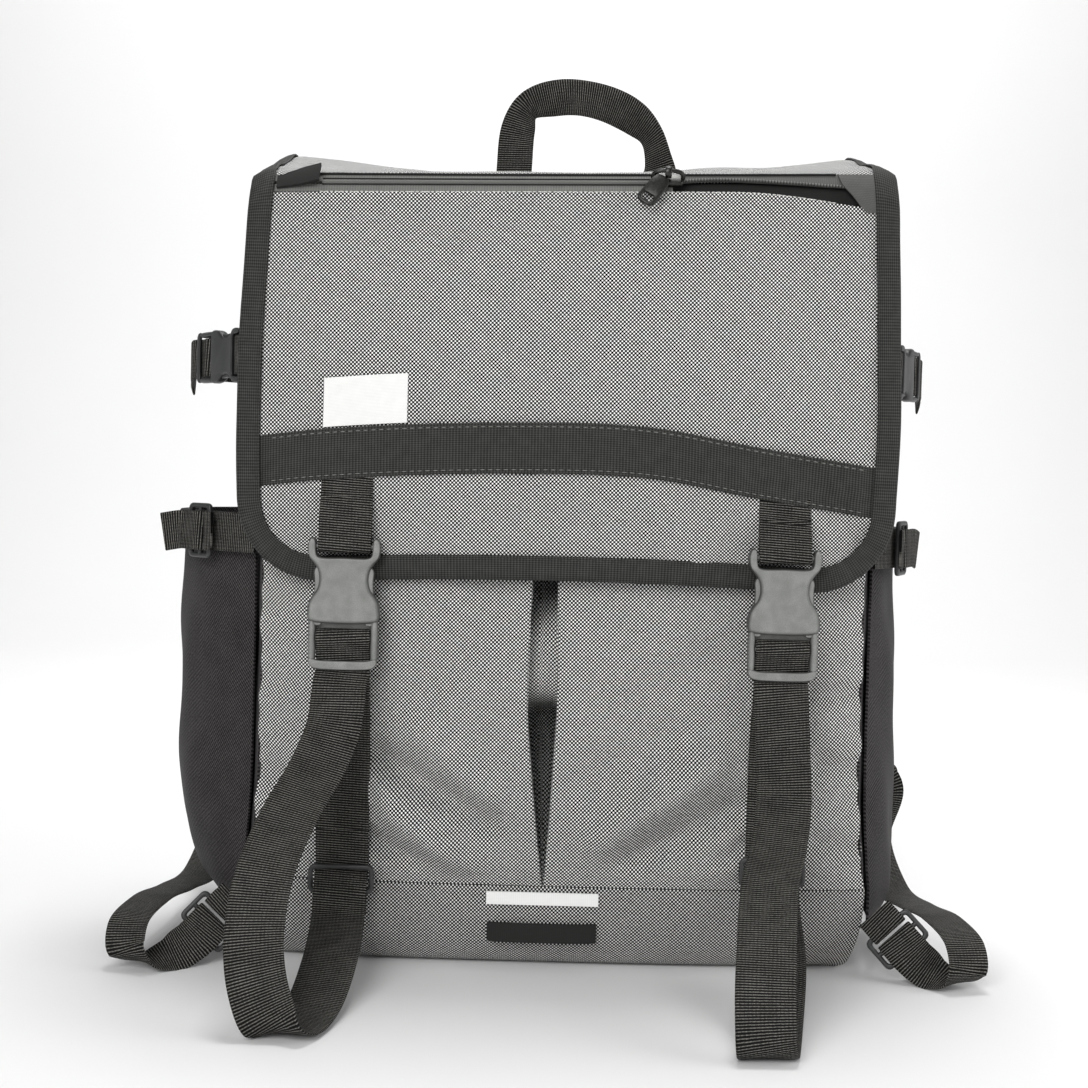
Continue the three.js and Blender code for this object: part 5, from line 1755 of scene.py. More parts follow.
@dataclass
class SidePockets:
    """Gusseted pockets on both flanks, open at the top under a webbing hem."""

    edge: float = 5
    hem: float = 12
    rounding: float = 2.4
    hem_thick: float = 1.1
    reach: Table = field(default_factory=lambda: Table(
        (24, 29, 44, 85, 160, 240, 274),
        left=(203, 214, 231, 245, 247, 246, 245),
        right=(201, 209, 216, 219, 216, 213, 212),
    ))

    def point(self, side: Side, s: Floats, z: Floats, lift: float = 0.0) -> Floats:
        """A point of a pocket's face.

        Args:
            side: Which pocket.
            s: Places from the front edge (-1) to the back edge (1).
            z: Heights.
            lift: How far off the face, square to it in plan.

        Returns:
            A point for each pair.
        """
        s, z = np.broadcast_arrays(np.asarray(s, float), np.asarray(z, float))
        if lift:
            ahead = self.point(side, s + 0.02, z) - self.point(side, s - 0.02, z)
            return self.point(side, s, z) + unit(np.cross(unit(ahead), UPWARD)) * lift * side.value
        share = np.clip((z - BODY.base_z) / (FLAP.rim_z(BODY.seam_x, 0) - BODY.base_z), 0, 1)
        y = mix(BODY.front_y + self.edge, BODY.back_y - self.edge, (s + 1) / 2)
        wall = 2 * (y - BODY.front_y) / (BODY.back_y - BODY.front_y) - 1
        clear = CLOTH + 4 * GAP
        rest = BODY.plan("right", wall, share)[0] + clear
        out = self.reach.at(side.word, z) - BODY.plan("right", 0.0, share)[0] - clear
        bulge = np.maximum(out, 0) * (1 - np.abs(s) ** self.rounding)
        return np.stack([side.value * (rest + bulge), y, z], -1)

    def net(self, side: Side, heights: Floats, columns: int, lift: float = 0.0) -> Floats:
        """A net over a pocket, columns to the right seen from outside."""
        s = np.linspace(-1, 1, columns + 1) * side.value
        grid = self.point(side, s[None, :], heights[:, None], lift)
        calm = (1 - np.abs(s) ** 8)[None, :] * smooth_step(24, 44, heights)[:, None]
        calm = calm * (1 - 0.7 * smooth_step(236, 262, heights))[:, None]
        grid[..., 0] += side.value * rumple(grid[..., 1] * 1.8, grid[..., 2], 2.2, side.value * 2.1) * calm
        return grid

    def build(self, shop: Workshop) -> None:
        """Builds and dresses both pockets and their hems."""
        top = self.reach.keys[-1]
        heights = np.concatenate([np.linspace(24, 44, 10)[:-1], np.linspace(44, top, 66)])
        for side in Side:
            net = self.net(side, heights, 64)
            made = cloth_shell(net, CLOTH).piece(f"cloth_pocket_{side.word}")
            shop.add(made, shop.finishes.black, Slot.BLACK_CLOTH, [f"pocket_{side.word}"])
            flat_size(net)
            band = np.linspace(top - self.hem, top, 8)
            outer = self.net(side, band, 64, GAP + self.hem_thick)
            inner = self.net(side, band, 64, GAP)
            hem = Draft().shell(outer, inner, weave_of(outer)[..., ::-1]).turned_out()
            hem = hem.piece(f"webbing_pocket_hem_{side.word}")
            shop.add(hem, shop.finishes.binding, Slot.BLACK_WEBBING, [f"pocket_hem_{side.word}"])


POCKETS = SidePockets()


@dataclass
class FlapCover:
    """The flap: top, front fall, bound edge, the band across it and a blank label."""

    binding_reach: float = 13
    binding_thick: float = 1.1
    band_height: float = 30
    band_end: float = 186
    band_dive: float = 1.7
    band_thick: float = 1.5
    band: Table = field(default_factory=lambda: Table(
        (-184, -144, -71, 10, 54, 109, 184), z=(306, 311, 316, 318, 316, 307, 296),
    ))
    label_from: float = -145
    label_to: float = -95
    label_height: float = 29
    label_thick: float = 0.8
    hem_height: float = 0.9

    def hem(self, x: Floats, share: Floats) -> Floats:
        """How far the turned hems beside the zip stand up, clear of its ends."""
        return self.hem_height * share * (1 - smooth_step(146, 156, np.abs(x)))

    def sheet(
        self, x: Floats, row: Floats, lift: Floats | float, thick: float, turned: bool = False,
    ) -> Draft:
        """A sheet laid on the flap.

        Args:
            x: Its net's places across the flap.
            row: Its net's rows.
            lift: How far its inner face is off the flap.
            thick: Its thickness.
            turned: Whether its weave runs across the flap.

        Returns:
            The drafted sheet.
        """
        outer = FLAP.point(x, row, lift + thick)
        weave = weave_of(outer)
        if turned:
            weave = weave[..., ::-1]
        return Draft().shell(outer, FLAP.point(x, row, lift), weave).turned_out()

    def outline(self) -> tuple[Floats, Floats]:
        """The bound edge: down the left side, along the hem and up the right side."""
        x, row = FLAP.front_net(90, 96)
        top_rows = np.concatenate([np.linspace(0, FLAP.top_end, 70), [(FLAP.zip_start + FLAP.zip_end) / 2]])
        top_x, top_row = FLAP.net(top_rows, 1)
        left_x = np.concatenate([top_x[:, 0], x[:, 0]])
        left_row = np.concatenate([top_row[:, 0], row[:, 0]])
        whole_x = np.concatenate([left_x, x[-1, 1:-1], -left_x[::-1]])
        whole_row = np.concatenate([left_row, row[-1, 1:-1], left_row[::-1]])
        return whole_x, whole_row

    def edge_frame(self) -> tuple[Floats, Floats, Floats, Floats]:
        """Points of the bound edge before it droops, with inward and outward directions and rows."""
        x, row = self.outline()
        edge = FLAP.plain(x, row) + FLAP.normal(x, row) * FLAP.relief(x, row)[..., None]
        keep = np.r_[True, np.linalg.norm(np.diff(edge, axis=0), axis=-1) > 0.6]
        edge, row = edge[keep], row[keep]
        normal = FLAP.normal(x[keep], row)
        along = unit(np.gradient(edge, axis=0))
        for _ in range(6):
            along = unit(along + np.roll(along, 1, 0) * 0.5 + np.roll(along, -1, 0) * 0.5)
        along[0], along[-1] = unit(edge[1] - edge[0]), unit(edge[-1] - edge[-2])
        return edge, unit(np.cross(normal, along)), normal, row

    def binding_draft(self) -> Draft:
        """The tape folded round the flap's edge, as a soft U."""
        edge, inward, normal, row = self.edge_frame()
        inner = 2 * GAP
        outer = inner + self.binding_thick
        reach = self.binding_reach
        under = -FLAP.thick
        section = np.array([
            (reach, inner), (reach + 0.2, inner + 0.5), (reach - 0.5, outer), (reach * 0.6, outer + 0.25),
            (reach * 0.2, outer + 0.15), (-outer * 0.5, outer * 0.9), (-outer, outer * 0.1),
            (-outer * 1.05, under / 2),
            (-outer, under - outer * 0.1), (-outer * 0.5, under - outer * 0.9), (reach * 0.5, under - outer),
            (reach, under - outer), (reach, under - inner), (reach * 0.5, under - inner),
            (-inner, under - inner), (-inner, inner), (reach * 0.5, inner),
        ])
        rings = (
            edge[:, None]
            + inward[:, None] * section[None, :, :1]
            + normal[:, None] * section[None, :, 1:]
        )
        rings = FLAP.drooped(rings, np.repeat(row[:, None], len(section), 1))
        around = travelled(np.concatenate([section, section[:1]]))
        weave = np.stack(np.broadcast_arrays(around[None, :], travelled(edge)[:, None]), -1)
        return Draft().loft(rings, weave).turned_out()

    def build(self, shop: Workshop) -> None:
        """Builds and dresses the flap."""
        look = shop.finishes
        x, row = FLAP.net(np.linspace(0, FLAP.top_end, 78), 110)
        grid = FLAP.point(x, row)
        hem = self.hem(x, smooth_step(4.93, 5.04, row))
        made = self.sheet(x, row, hem - FLAP.thick, FLAP.thick).piece("cloth_flap_top")
        shop.add(made, look.grey, Slot.GREY_CLOTH, ["flap_top"])
        flat_size(grid)
        x, row = FLAP.front_net(96, 120)
        grid = FLAP.point(x, row)
        hem = self.hem(x, 1 - smooth_step(0.06, 0.14, row - FLAP.lip_row(x)))
        made = self.sheet(x, row, hem - FLAP.thick, FLAP.thick).piece("cloth_flap_front")
        shop.add(made, look.grey, Slot.GREY_CLOTH, ["flap_front"])
        flat_size(grid)
        flat_area(grid)
        made = self.binding_draft().piece("webbing_flap_binding", 75)
        shop.add(made, look.binding, Slot.BLACK_WEBBING, ["flap_binding"])

        x = np.linspace(-self.band_end, self.band_end, 140)
        tilt = np.array([-0.5, -0.48, -0.25, 0, 0.25, 0.48, 0.5])
        heights = self.band.at("z", x)[None, :] + tilt[:, None] * self.band_height
        wide = np.repeat(x[None, :], len(tilt), 0)
        lift = GAP - self.band_dive * smooth_step(174, 181, np.abs(wide))
        made = self.sheet(wide, FLAP.row_at(wide, heights), lift, self.band_thick, turned=True)
        made = made.piece("webbing_flap_band")
        shop.add(made, look.binding, Slot.BLACK_WEBBING, ["flap_band"])
        x = np.linspace(self.label_from, self.label_to, 24)
        shares = np.linspace(0, 1, 14)[:, None]
        up = self.band.at("z", x)[None, :] + self.band_height / 2 + 1 + shares * self.label_height
        wide = np.repeat(x[None, :], len(shares), 0)
        made = self.sheet(wide, FLAP.row_at(wide, up), GAP, self.label_thick).piece("blank_flap_label")
        shop.add(made, look.label, Slot.WHITE_LABEL, ["flap_label"])


COVER = FlapCover()


@dataclass
class FlapZip:
    """The zip on the flap's fold: two tapes, a black sheet under the opened part that paints its shaded
    inside, end pieces, slider and pull.
    """

    slider_x: float = 55
    chain_from: float = -150
    tab_from: float = -177
    tab_to: float = -151
    patch_to: float = 184
    lower_start: float = 5.62
    chain_row: float = 5.545
    # Rows of the dark lines that paint the grooves' shade.
    groove_rows: tuple = (5.36, 5.46, 5.64)
    crown: float = 7.4
    wire: float = 1.3
    skew: float = math.radians(35)
    lean: float = math.radians(24)
    upper_edge: Table = field(default_factory=lambda: Table(
        (-200, 40, 56, 72, 95, 120, 165, 200), row=(5.47, 5.47, 5.47, 5.34, 5.32, 5.44, 5.69, 5.74),
    ))
    patch: Table = field(default_factory=lambda: Table((5.13, 5.7, 6.25, 6.42), start=(157, 160, 169, 174)))
    pull_outline: tuple = (
        (0, -26), (3.6, -25.7), (5.4, -24.2), (5.8, -21.5), (5.7, -12), (5.3, -8), (4.2, -5.6),
        (2.2, -4.3), (0, -4),
    )

    @property
    def slider_row(self) -> float:
        """The row of the slider's middle."""
        return mix(FLAP.zip_start, FLAP.zip_end, 0.48)

    def tape_draft(self, start: float, end: float, upper: bool) -> Draft:
        """One run of tape.

        Args:
            start: Where it starts across the flap.
            end: Where it ends.
            upper: Whether it is above the chain.

        Returns:
            The drafted tape.
        """
        shares = np.linspace(0, 1, 9)[:, None]
        x = np.linspace(start, end, 141)[None, :]
        first = FLAP.zip_start if upper else self.lower_start
        last = self.upper_edge.at("row", x) if upper else FLAP.zip_end
        row = mix(first, last, shares) + 0 * x
        outer = FLAP.point(x, row)
        return Draft().shell(outer, FLAP.point(x, row, -FLAP.thick), weave_of(outer)[..., ::-1]).turned_out()

    def chain_draft(self) -> Draft:
        """The closed chain, left of the slider."""
        x = np.linspace(self.chain_from, self.slider_x - 4, 120)
        return tube(FLAP.point(x, np.full_like(x, self.chain_row), 0.1), 1.5, 10, 0.8)

    def slider_frame(self) -> tuple[Floats, Floats]:
        """Directions and origin of the slider: X to the right, Y up the slope and Z off the tape."""
        out = FLAP.normal(self.slider_x, self.slider_row)
        axes = np.stack([RIGHTWARD, np.cross(out, RIGHTWARD), out], -1)
        return axes, FLAP.plain(self.slider_x, self.slider_row) + out * GAP

    def slider_draft(self) -> Draft:
        """The slider's rounded body with an arched bridge."""
        angles = np.linspace(0, 2 * math.pi, 40, endpoint=False)
        wide = squared(np.cos(angles), 0.55) * 9.5
        high = squared(np.sin(angles), 0.62) * (4.6 + 0.9 * np.cos(angles))
        layers = ((0.9, 0), (1, 0.5), (1, 2.2), (0.95, 2.8), (0.82, 3.1))
        rings = np.array([np.stack([wide * k, high * k, np.full_like(wide, z)], -1) for k, z in layers])
        arch = SmoothPath([
            (-8.4, 0, 1.4), (-9, 0, 3.8), (-8.2, 0, 6.4), (-5.4, 0, 8.1), (-2, 0, 8.6), (2, 0, 8.6),
            (5.4, 0, 8.1), (8.2, 0, 6.4), (9, 0, 3.8), (8.4, 0, 1.4),
        ]).at(np.linspace(0, 1, 40))
        made = Draft().solid(rings).turned_out().include(tube(arch, self.wire, 12))
        return made.placed(*self.slider_frame())

    def pull_draft(self) -> Draft:
        """The pull: an eye round the bridge and a tab with a window in its foot."""
        window = rounded_box(3.5, -23.8, -19, 1.5)
        tab = ring_plate(smooth_outline(self.pull_outline, 0.6), window, (0, -21), 2.4, 0.7)
        turn = Matrix.Rotation(-self.lean, 3, "X") @ Matrix.Rotation(self.skew, 3, "Y")
        tab.placed(np.array(turn), np.zeros(3))
        angles = np.linspace(0, 2 * math.pi, 36, endpoint=False)
        section = np.array([
            (-1.8, 2.7), (-1.5, 2.5), (1.5, 2.5), (1.8, 2.7),
            (1.8, 3.2), (1.4, 3.5), (-1.4, 3.5), (-1.8, 3.2),
        ])
        wide, off = section.T
        rings = np.array([np.stack([wide, off * math.cos(a), off * math.sin(a)], -1) for a in angles])
        eye = Draft().solid(rings, closed=True).turned_out()
        axes, origin = self.slider_frame()
        return tab.include(eye).placed(np.eye(3), origin + axes[:, 2] * self.crown)

    def build(self, shop: Workshop) -> None:
        """Builds and dresses the zip."""
        look = shop.finishes
        half = float(FLAP.edge(np.array([self.slider_row]))[0])
        closed = self.tape_draft(-half, self.slider_x, True)
        closed.include(self.tape_draft(-half, self.slider_x + 3, False)).include(self.chain_draft())
        shop.add(closed.piece("grey_zip_tapes"), look.zip_tape, Slot.GREY_CLOTH, ["zip_tape"])
        parted = self.tape_draft(self.slider_x + 0.3, half, True)
        shop.add(parted.piece("dark_zip_tape"), look.patch, Slot.BLACK_CLOTH)
        # A black sheet under the open part of the zip paints the shade inside the opening.
        shares = np.linspace(0, 1, 14)[:, None]
        x = np.linspace(self.slider_x - 6, 176, 60)[None, :]
        row = mix(FLAP.zip_start + 0.02, FLAP.lip_row(x) + 0.16, shares)
        made = COVER.sheet(np.repeat(x, 14, 0), row, -5.4, 1.0).piece("cloth_zip_lining")
        shop.add(made, look.loop, Slot.BLACK_CLOTH)
        # A dark tube along the flap top's front edge paints the shadow line in the gap above the zip.
        x = np.linspace(-172, 156, 160)
        edge_shadow_line = FLAP.point(x, np.full_like(x, FLAP.top_end), 0.5)
        shop.add(tube(edge_shadow_line, 0.75, 8).piece("cloth_zip_piping"), look.loop, Slot.BLACK_CLOTH)
        # Dark tubes beside the chain paint the shade in the tape's grooves.
        x = np.linspace(self.chain_from, self.slider_x - 8, 120)
        groove_shade = Draft()
        for row in self.groove_rows:
            groove_shade.include(tube(FLAP.point(x, np.full_like(x, row), 0.1), 0.55, 6))
        shop.add(groove_shade.piece("cloth_zip_grooves"), look.loop, Slot.BLACK_CLOTH)
        wide, down = np.meshgrid(np.linspace(self.tab_from, self.tab_to, 24), np.linspace(0, 1, 12))
        share = (wide - self.tab_from) / (self.tab_to - self.tab_from)
        long = mix(5.36 - 0.36 * smooth_step(0, 0.7, share), 5.84 - 0.12 * share, down)
        made = COVER.sheet(wide, long, GAP + 4.2 * share**2, 2.4).piece("webbing_zip_tab")
        shop.add(made, look.loop, Slot.BLACK_CLOTH, ["zip_tab_left"])
        row = np.linspace(self.patch.keys[0], self.patch.keys[-1], 18)
        wide = mix(self.patch.at("start", row)[:, None], self.patch_to, np.linspace(0, 1, 14)[None, :])
        made = COVER.sheet(wide, np.repeat(row[:, None], 14, 1), GAP, 0.8).piece("cloth_zip_patch")
        shop.add(made, look.patch, Slot.BLACK_CLOTH, ["zip_patch_right"])
        shop.add(self.slider_draft().piece("metal_zip_slider"), look.metal, Slot.STEEL, ["zip_slider"])
        made = self.pull_draft().piece("metal_zip_pull")
        shop.add(made, look.metal, Slot.STEEL, ["zip_pull"], "zip_pull")


ZIP = FlapZip()


@dataclass
class FrontClosure:
    """Two buckled straps down the front, with their tabs and keepers, and two tapes on the tray."""

    buckle_x: float = 130
    buckle_width: float = 43
    buckle_thick: float = 9
    socket_z: float = 212
    socket_bar_z: float = 44.8
    socket_bar: float = 1.6
    plug_bar_z: float = -9.5
    plug_bar: float = 1.5
    keeper_width: float = 40
    keeper_height: float = 18
    keeper_bar: float = 3
    left_keeper_z: float = 55
    right_keeper_z: float = 66
    strap: Webbing = Webbing(32)
    tab: Webbing = Webbing(31)
    left_rows: tuple = (
        (-131, -116, 176, 0), (-133, -123, 152, 4), (-140, -136, 131, 8), (-153, -165, 105, 10),
        (-161, -195, 78, 8), (-162, -216, 49, 5), (-157, -227, 26, 0), (-149, -230, 9, -4),
        (-142, -222, 3.6, -6), (-134, -192, 5.6, -6), (-129, -150, 22, -2),
    )
    right_rows: tuple = (
        (130, -114, 178, 0), (132, -117, 140, 0), (132, -126, 115, 0), (126, -150, 92, -4),
        (118, -178, 77, -6), (112, -215, 53, -4), (109, -238, 32, 0), (109, -247, 12, 2),
        (111, -240, 3, 4), (119, -200, 5, 5), (128, -150, 28, 2),
    )

    @property
    def clearance(self) -> float:
        """From a bar's face to the middle of webbing turned round it."""
        return 0.75 + self.strap.thick / 2

    @property
    def buckle_y(self) -> float:
        """Middle plane of the buckles."""
        inner = self.buckle_x - self.buckle_width / 2
        hem = FLAP.plain(inner, FLAP.hem_row(inner))
        return float(hem[1] - COVER.binding_thick - self.buckle_thick / 2 - 6 * GAP)

    def tab_path(self, side: Side) -> SmoothPath:
        """Webbing from under the flap's band round the bar in the socket's top."""
        x = side.value * self.buckle_x
        inner = self.buckle_x - self.strap.width / 2

        def on_flap(z: float, lift: float) -> Floats:
            """A point off the flap, at the strap's middle."""
            row = FLAP.row_at(inner, z)
            point = FLAP.plain(inner, row) + FLAP.normal(0.0, row) * lift
            return np.array([x, point[1], point[2]])

        def under_band(z: float, lift: float) -> Floats:
            """A point off the flap's face, at the tab's own place."""
            point = FLAP.point(x, FLAP.row_at(x, z), lift)
            return np.array([x, point[1], point[2]])

        bar = self.socket_z + self.socket_bar_z
        start = self.band_edge(side) - 4
        turn = round_bar(self.socket_bar + self.clearance)
        wrap = [np.array([x, self.buckle_y - outside, bar - below]) for below, outside in turn]
        return SmoothPath([
            on_flap(start - 6, 1.2), on_flap(start - 14, 1.5), *wrap,
            on_flap(start - 12, 3.6), under_band(start - 4, 1.4), under_band(start + 1.5, 0.5),
            under_band(start + 6.5, 0.1), under_band(start + 10, -4),
        ])

    def band_edge(self, side: Side) -> float:
        """Height of the band's lower edge over a tab's middle."""
        return float(COVER.band.at("z", side.value * self.buckle_x)) - COVER.band_height / 2

    def tab_widths(self, side: Side, path: SmoothPath) -> list[Floats]:
        """Directions of a tab's width: level round the bar, then along the flap's face."""
        x = side.value * self.buckle_x
        row = FLAP.row_at(x, self.band_edge(side))
        half = self.tab.width / 2
        lean = (FLAP.plain(x + half, row) - FLAP.plain(x - half, row)) * np.array([1, 1, 0])
        return [RIGHTWARD] * (len(path.points) - 4) + [unit(lean)] * 4

    def keeper_y(self, x: float, z: float) -> float:
        """Middle plane of a keeper."""
        inner = abs(x) - self.keeper_width / 2
        face = BODY.front_face_y(inner, z + self.keeper_height / 2)
        return float(min(face, BODY.tray_face_y(inner, BODY.base_z)) - 5.4)

    def keeper_draft(self) -> Draft:
        """A keeper: a plain eased ring that both runs of the strap pass through."""
        half, tall, bar = self.keeper_width / 2, self.keeper_height / 2, self.keeper_bar
        outer = rounded_box(half, -tall, tall, 4.2)
        return ring_plate(outer, rounded_box(half - bar, bar - tall, tall - bar, 2), (0, 0), bar, 1.2)

    def keeper_tab_path(self, x: float, z: float) -> SmoothPath:
        """The tab that holds a keeper to the tray."""
        y = self.keeper_y(x, z)
        bar = z - self.keeper_height / 2 + self.keeper_bar / 2
        reach = self.keeper_bar / 2 + self.clearance + 0.2
        inner = abs(x) - self.keeper_width / 2
        foot = float(min(BODY.tray_face_y(inner, bar - 12) - 2 * GAP - self.tab.thick / 2, y + reach))
        wrap = [(y - outside, bar + above) for above, outside in round_bar(reach)]
        points = [(foot, bar - 14), (foot, bar - 6), *wrap, (y - reach, bar - 9)]
        return SmoothPath([(x, *point) for point in points])

    def strap_path(self, x: float, z: float, rows: Sequence) -> tuple[SmoothPath, WidthRule]:
        """One strap: up from its keeper, over the buckle's bar, out to the floor and into the keeper.

        Args:
            x: Middle of the strap.
            z: Height of its keeper.
            rows: Its free run.

        Returns:
            Its closed middle line, and how its width turns.
        """
        y = self.keeper_y(x, z)
        bar = self.socket_z + self.plug_bar_z
        inner = abs(x) - self.strap.width / 2
        up = []
        for rise in (30, 75):
            face = float(BODY.front_face_y(inner, z + rise))
            up.append((min(face - self.strap.thick, y + 3.2), z + rise))
        buckle = self.buckle_y
        wrap = [
            (buckle - outside * 1.15, bar + above * 1.7)
            for above, outside in round_bar(self.plug_bar + self.clearance)
        ]
        over = [
            (buckle + 3, bar - 24), (buckle + 2.9, bar - 10), *wrap,
            (buckle + 0.5, bar - 9), (buckle + 0.6, bar - 19),
        ]
        into = [(y - 8.5, z - 17), (y - 5.4, z - 6), (y - 0.2, z + 0.6), (y + 3.2, z + 6)]
        path = [(x, *p, 0) for p in (*up, *over)] + [*rows] + [(x, *p, 0) for p in into]
        widths = [tipped(turn=row[3]) for row in (*path, path[0])]
        return SmoothPath([row[:3] for row in path], closed=True), between(widths)

    def build(self, shop: Workshop) -> None:
        """Builds and dresses the closure."""
        look = shop.finishes
        runs = (
            (Side.LEFT, self.left_keeper_z, self.left_rows),
            (Side.RIGHT, self.right_keeper_z, self.right_rows),
        )
        for side, z, rows in runs:
            x = side.value * self.buckle_x
            path = self.tab_path(side)
            made = self.tab.draft(path, between(self.tab_widths(side, path)))
            made = made.piece(f"webbing_buckle_tab_{side.word}")
            shop.add(made, look.webbing, Slot.BLACK_WEBBING, [f"buckle_tab_{side.word}"])
            made = self.tab.draft(self.keeper_tab_path(x, z), steady(RIGHTWARD))
            made = made.piece(f"webbing_keeper_tab_{side.word}")
            shop.add(made, look.webbing, Slot.BLACK_WEBBING, [f"keeper_tab_{side.word}"])
            made = self.strap.draft(*self.strap_path(x, z, rows)).piece(f"webbing_front_strap_{side.word}")
            shop.add(made, look.webbing, Slot.BLACK_WEBBING, [f"front_strap_{side.word}"])
            hard = (
                ("buckle_socket", ReleaseBuckle().socket(), (x, self.buckle_y, self.socket_z), look.plastic),
                ("buckle_plug", ReleaseBuckle().plug(), (x, self.buckle_y, self.socket_z), look.plastic),
                ("strap_keeper", self.keeper_draft(), (x, self.keeper_y(x, z), z), look.dark_plastic),
            )
            for node, draft, place, finish in hard:
                made = draft.placed(np.eye(3), np.array(place)).piece(f"moulded_{node}_{side.word}")
                shop.add(made, finish, Slot.DARK_PLASTIC, [f"{node}_{side.word}"])
        tapes = (
            ("pale_reflective_tab", "reflective_tab", 45, 34, 8, 0),
            ("webbing_light_loop", "light_loop", 24, 33, 12, 3),
        )
        for name, node, z, half, width, lift in tapes:
            x = np.linspace(-half, half, 25)
            bow = lift * (1 - np.abs(x / half) ** 4)
            y = BODY.tray_face_y(x + BODY.pleat_x, z) - GAP * 2 - 0.75 - bow
            path = SmoothPath(np.stack([x + BODY.pleat_x, y, np.full_like(x, z)], -1))
            made = Webbing(width).draft(path, steady(UPWARD)).piece(name)
            finish, slot = (look.loop, Slot.BLACK_WEBBING) if lift else (look.pale, Slot.PALE_TAPE)
            shop.add(made, finish, slot, [node])


CLOSURE = FrontClosure()


@dataclass
class SideStraps:
    """Compression straps on both flanks, upper ones buckled and lower ones on a slider."""

    upper_z: float = 371
    lower_z: float = 262
    slider: tuple = (34, 22, 3, 3)
    scale: float = 25 / 32
    socket_height: float = 50
    plug_height: float = 28
    band: Webbing = Webbing(24)
    tails: Mapping = field(default_factory=lambda: {Side.LEFT: (16, 10, 2), Side.RIGHT: (12, 5, 1.5)})
    outs: Mapping = field(default_factory=lambda: {Side.LEFT: 243, Side.RIGHT: 228})

    def upper_paths(self, side: Side) -> tuple[SmoothPath, SmoothPath, Floats, Floats]:
        """Front and back runs of an upper strap, with its buckle's directions and mouth."""
        sign = side.value
        out = self.outs[side]

        def at(x: float, y: float, z: float = self.upper_z) -> Floats:
            """A point on this flank."""
            return np.array([sign * x, y, z])

        start = at(BODY.seam_x + 17, -64)
        along = unit(at(out - 4, -13) - start)
        face = unit(np.cross(along, UPWARD) * sign)
        mouth = start + along * self.socket_height * self.scale

        def aside(point: Floats, forward: float, outside: float) -> Floats:
            """A point ahead of and outside another."""
            return point + along * forward + face * outside

        def wrapped(bar: Floats, half: float, turn: float) -> list[Floats]:
            """Half a turn round a bar."""
            reach = half * self.scale + CLOSURE.clearance
            return [aside(bar, turn * forward, outside) for forward, outside in round_bar(reach)]

        socket_bar = mouth - along * CLOSURE.socket_bar_z * self.scale
        front = [
            aside(socket_bar, -9, -2.8), aside(socket_bar, -4, -2.9),
            *wrapped(socket_bar, CLOSURE.socket_bar, 1),
            aside(socket_bar, -6, 2.6), at(BODY.seam_x + 5, -76),
        ]
        plug_bar = mouth - along * CLOSURE.plug_bar_z * self.scale
        end = self.plug_height * self.scale
        back = [
            at(BODY.back_seam_x + 8, BODY.back_y - 2), at(BODY.back_seam_x + 24, 70),
            at(mix(BODY.seam_x, out, 0.82), 42), at(out, 12),
            aside(mouth, end + 3, -3), aside(mouth, end - 5, -2.8),
            *wrapped(plug_bar, CLOSURE.plug_bar, -1),
            aside(plug_bar, 7, 0), aside(mouth, end, -0.6), aside(mouth, end + 7, 1.2),
            at(out + 5, 12, self.upper_z - 4), at(out + 6, 26, self.upper_z - 12),
        ]
        return SmoothPath(front), SmoothPath(back), self.hard_axes(side, along, face), mouth

    def hard_axes(self, side: Side, along: Floats, face: Floats) -> Floats:
        """Directions of a moulded part that lies on a flank, from the strap's run and its outside."""
        return np.stack([UPWARD * side.value, -face, -along], -1)

    def lower_paths(self, side: Side) -> tuple[SmoothPath, SmoothPath, Floats, Floats]:
        """Front and back runs of a lower strap, with its slider's directions and middle."""
        sign = side.value

        def on_pocket(s: float, lift: float = 3.4) -> Floats:
            """A point off the pocket's face."""
            return POCKETS.point(side, s, self.lower_z, lift)

        slider = on_pocket(-0.72, 7.6)
        along = unit(on_pocket(-0.55) - on_pocket(-0.85))
        face = unit(np.cross(along, UPWARD) * sign)
        hold = StrapFrame(slider, along, face)
        aside = hold.aside
        reach = self.slider[2] / 2 + CLOSURE.clearance + 0.2
        end = (self.slider[1] - self.slider[2]) / 2
        seam = np.array([sign * (BODY.seam_x + 4), BODY.front_y - 4, self.lower_z])
        front = [seam, aside(-end - 8, -reach), *hold.wrapped(reach, -end, 1), aside(-end - 6, reach)]
        back_seam = np.array([sign * (BODY.back_seam_x + 8), BODY.back_y + 1, self.lower_z])
        length, out, drop = self.tails[side]
        tail = aside(end + length, out) - UPWARD * drop
        back = [
            back_seam, *(on_pocket(s) for s in (0.86, 0.5, 0.1, -0.3)),
            aside(end + 4, -reach), *hold.wrapped(reach, 0, -1),
            aside(end, reach), aside(end + 6, reach + 1), tail,
        ]
        return SmoothPath(front), SmoothPath(back), self.hard_axes(side, along, face), slider

    def build(self, shop: Workshop) -> None:
        """Builds and dresses the side straps."""
        look = shop.finishes
        for side in Side:
            for level, plan in (("upper", self.upper_paths(side)), ("lower", self.lower_paths(side))):
                for end, path in zip(("front", "back"), plan[:2], strict=True):
                    node = f"{level}_strap_{end}_{side.word}"
                    made = self.band.draft(path, steady(UPWARD)).piece(f"webbing_{node}")
                    shop.add(made, look.webbing, Slot.BLACK_WEBBING, [node])
                if level == "upper":
                    hard = (("side_socket", ReleaseBuckle().socket()), ("side_plug", ReleaseBuckle().plug()))
                else:
                    hard = (("lower_slider", ladder_slider(*self.slider)),)
                scale = self.scale if level == "upper" else 1.0
                for node, draft in hard:
                    made = draft.placed(plan[2], plan[3], scale).piece(f"moulded_{node}_{side.word}")
                    shop.add(made, look.dark_plastic, Slot.DARK_PLASTIC, [f"{node}_{side.word}"])


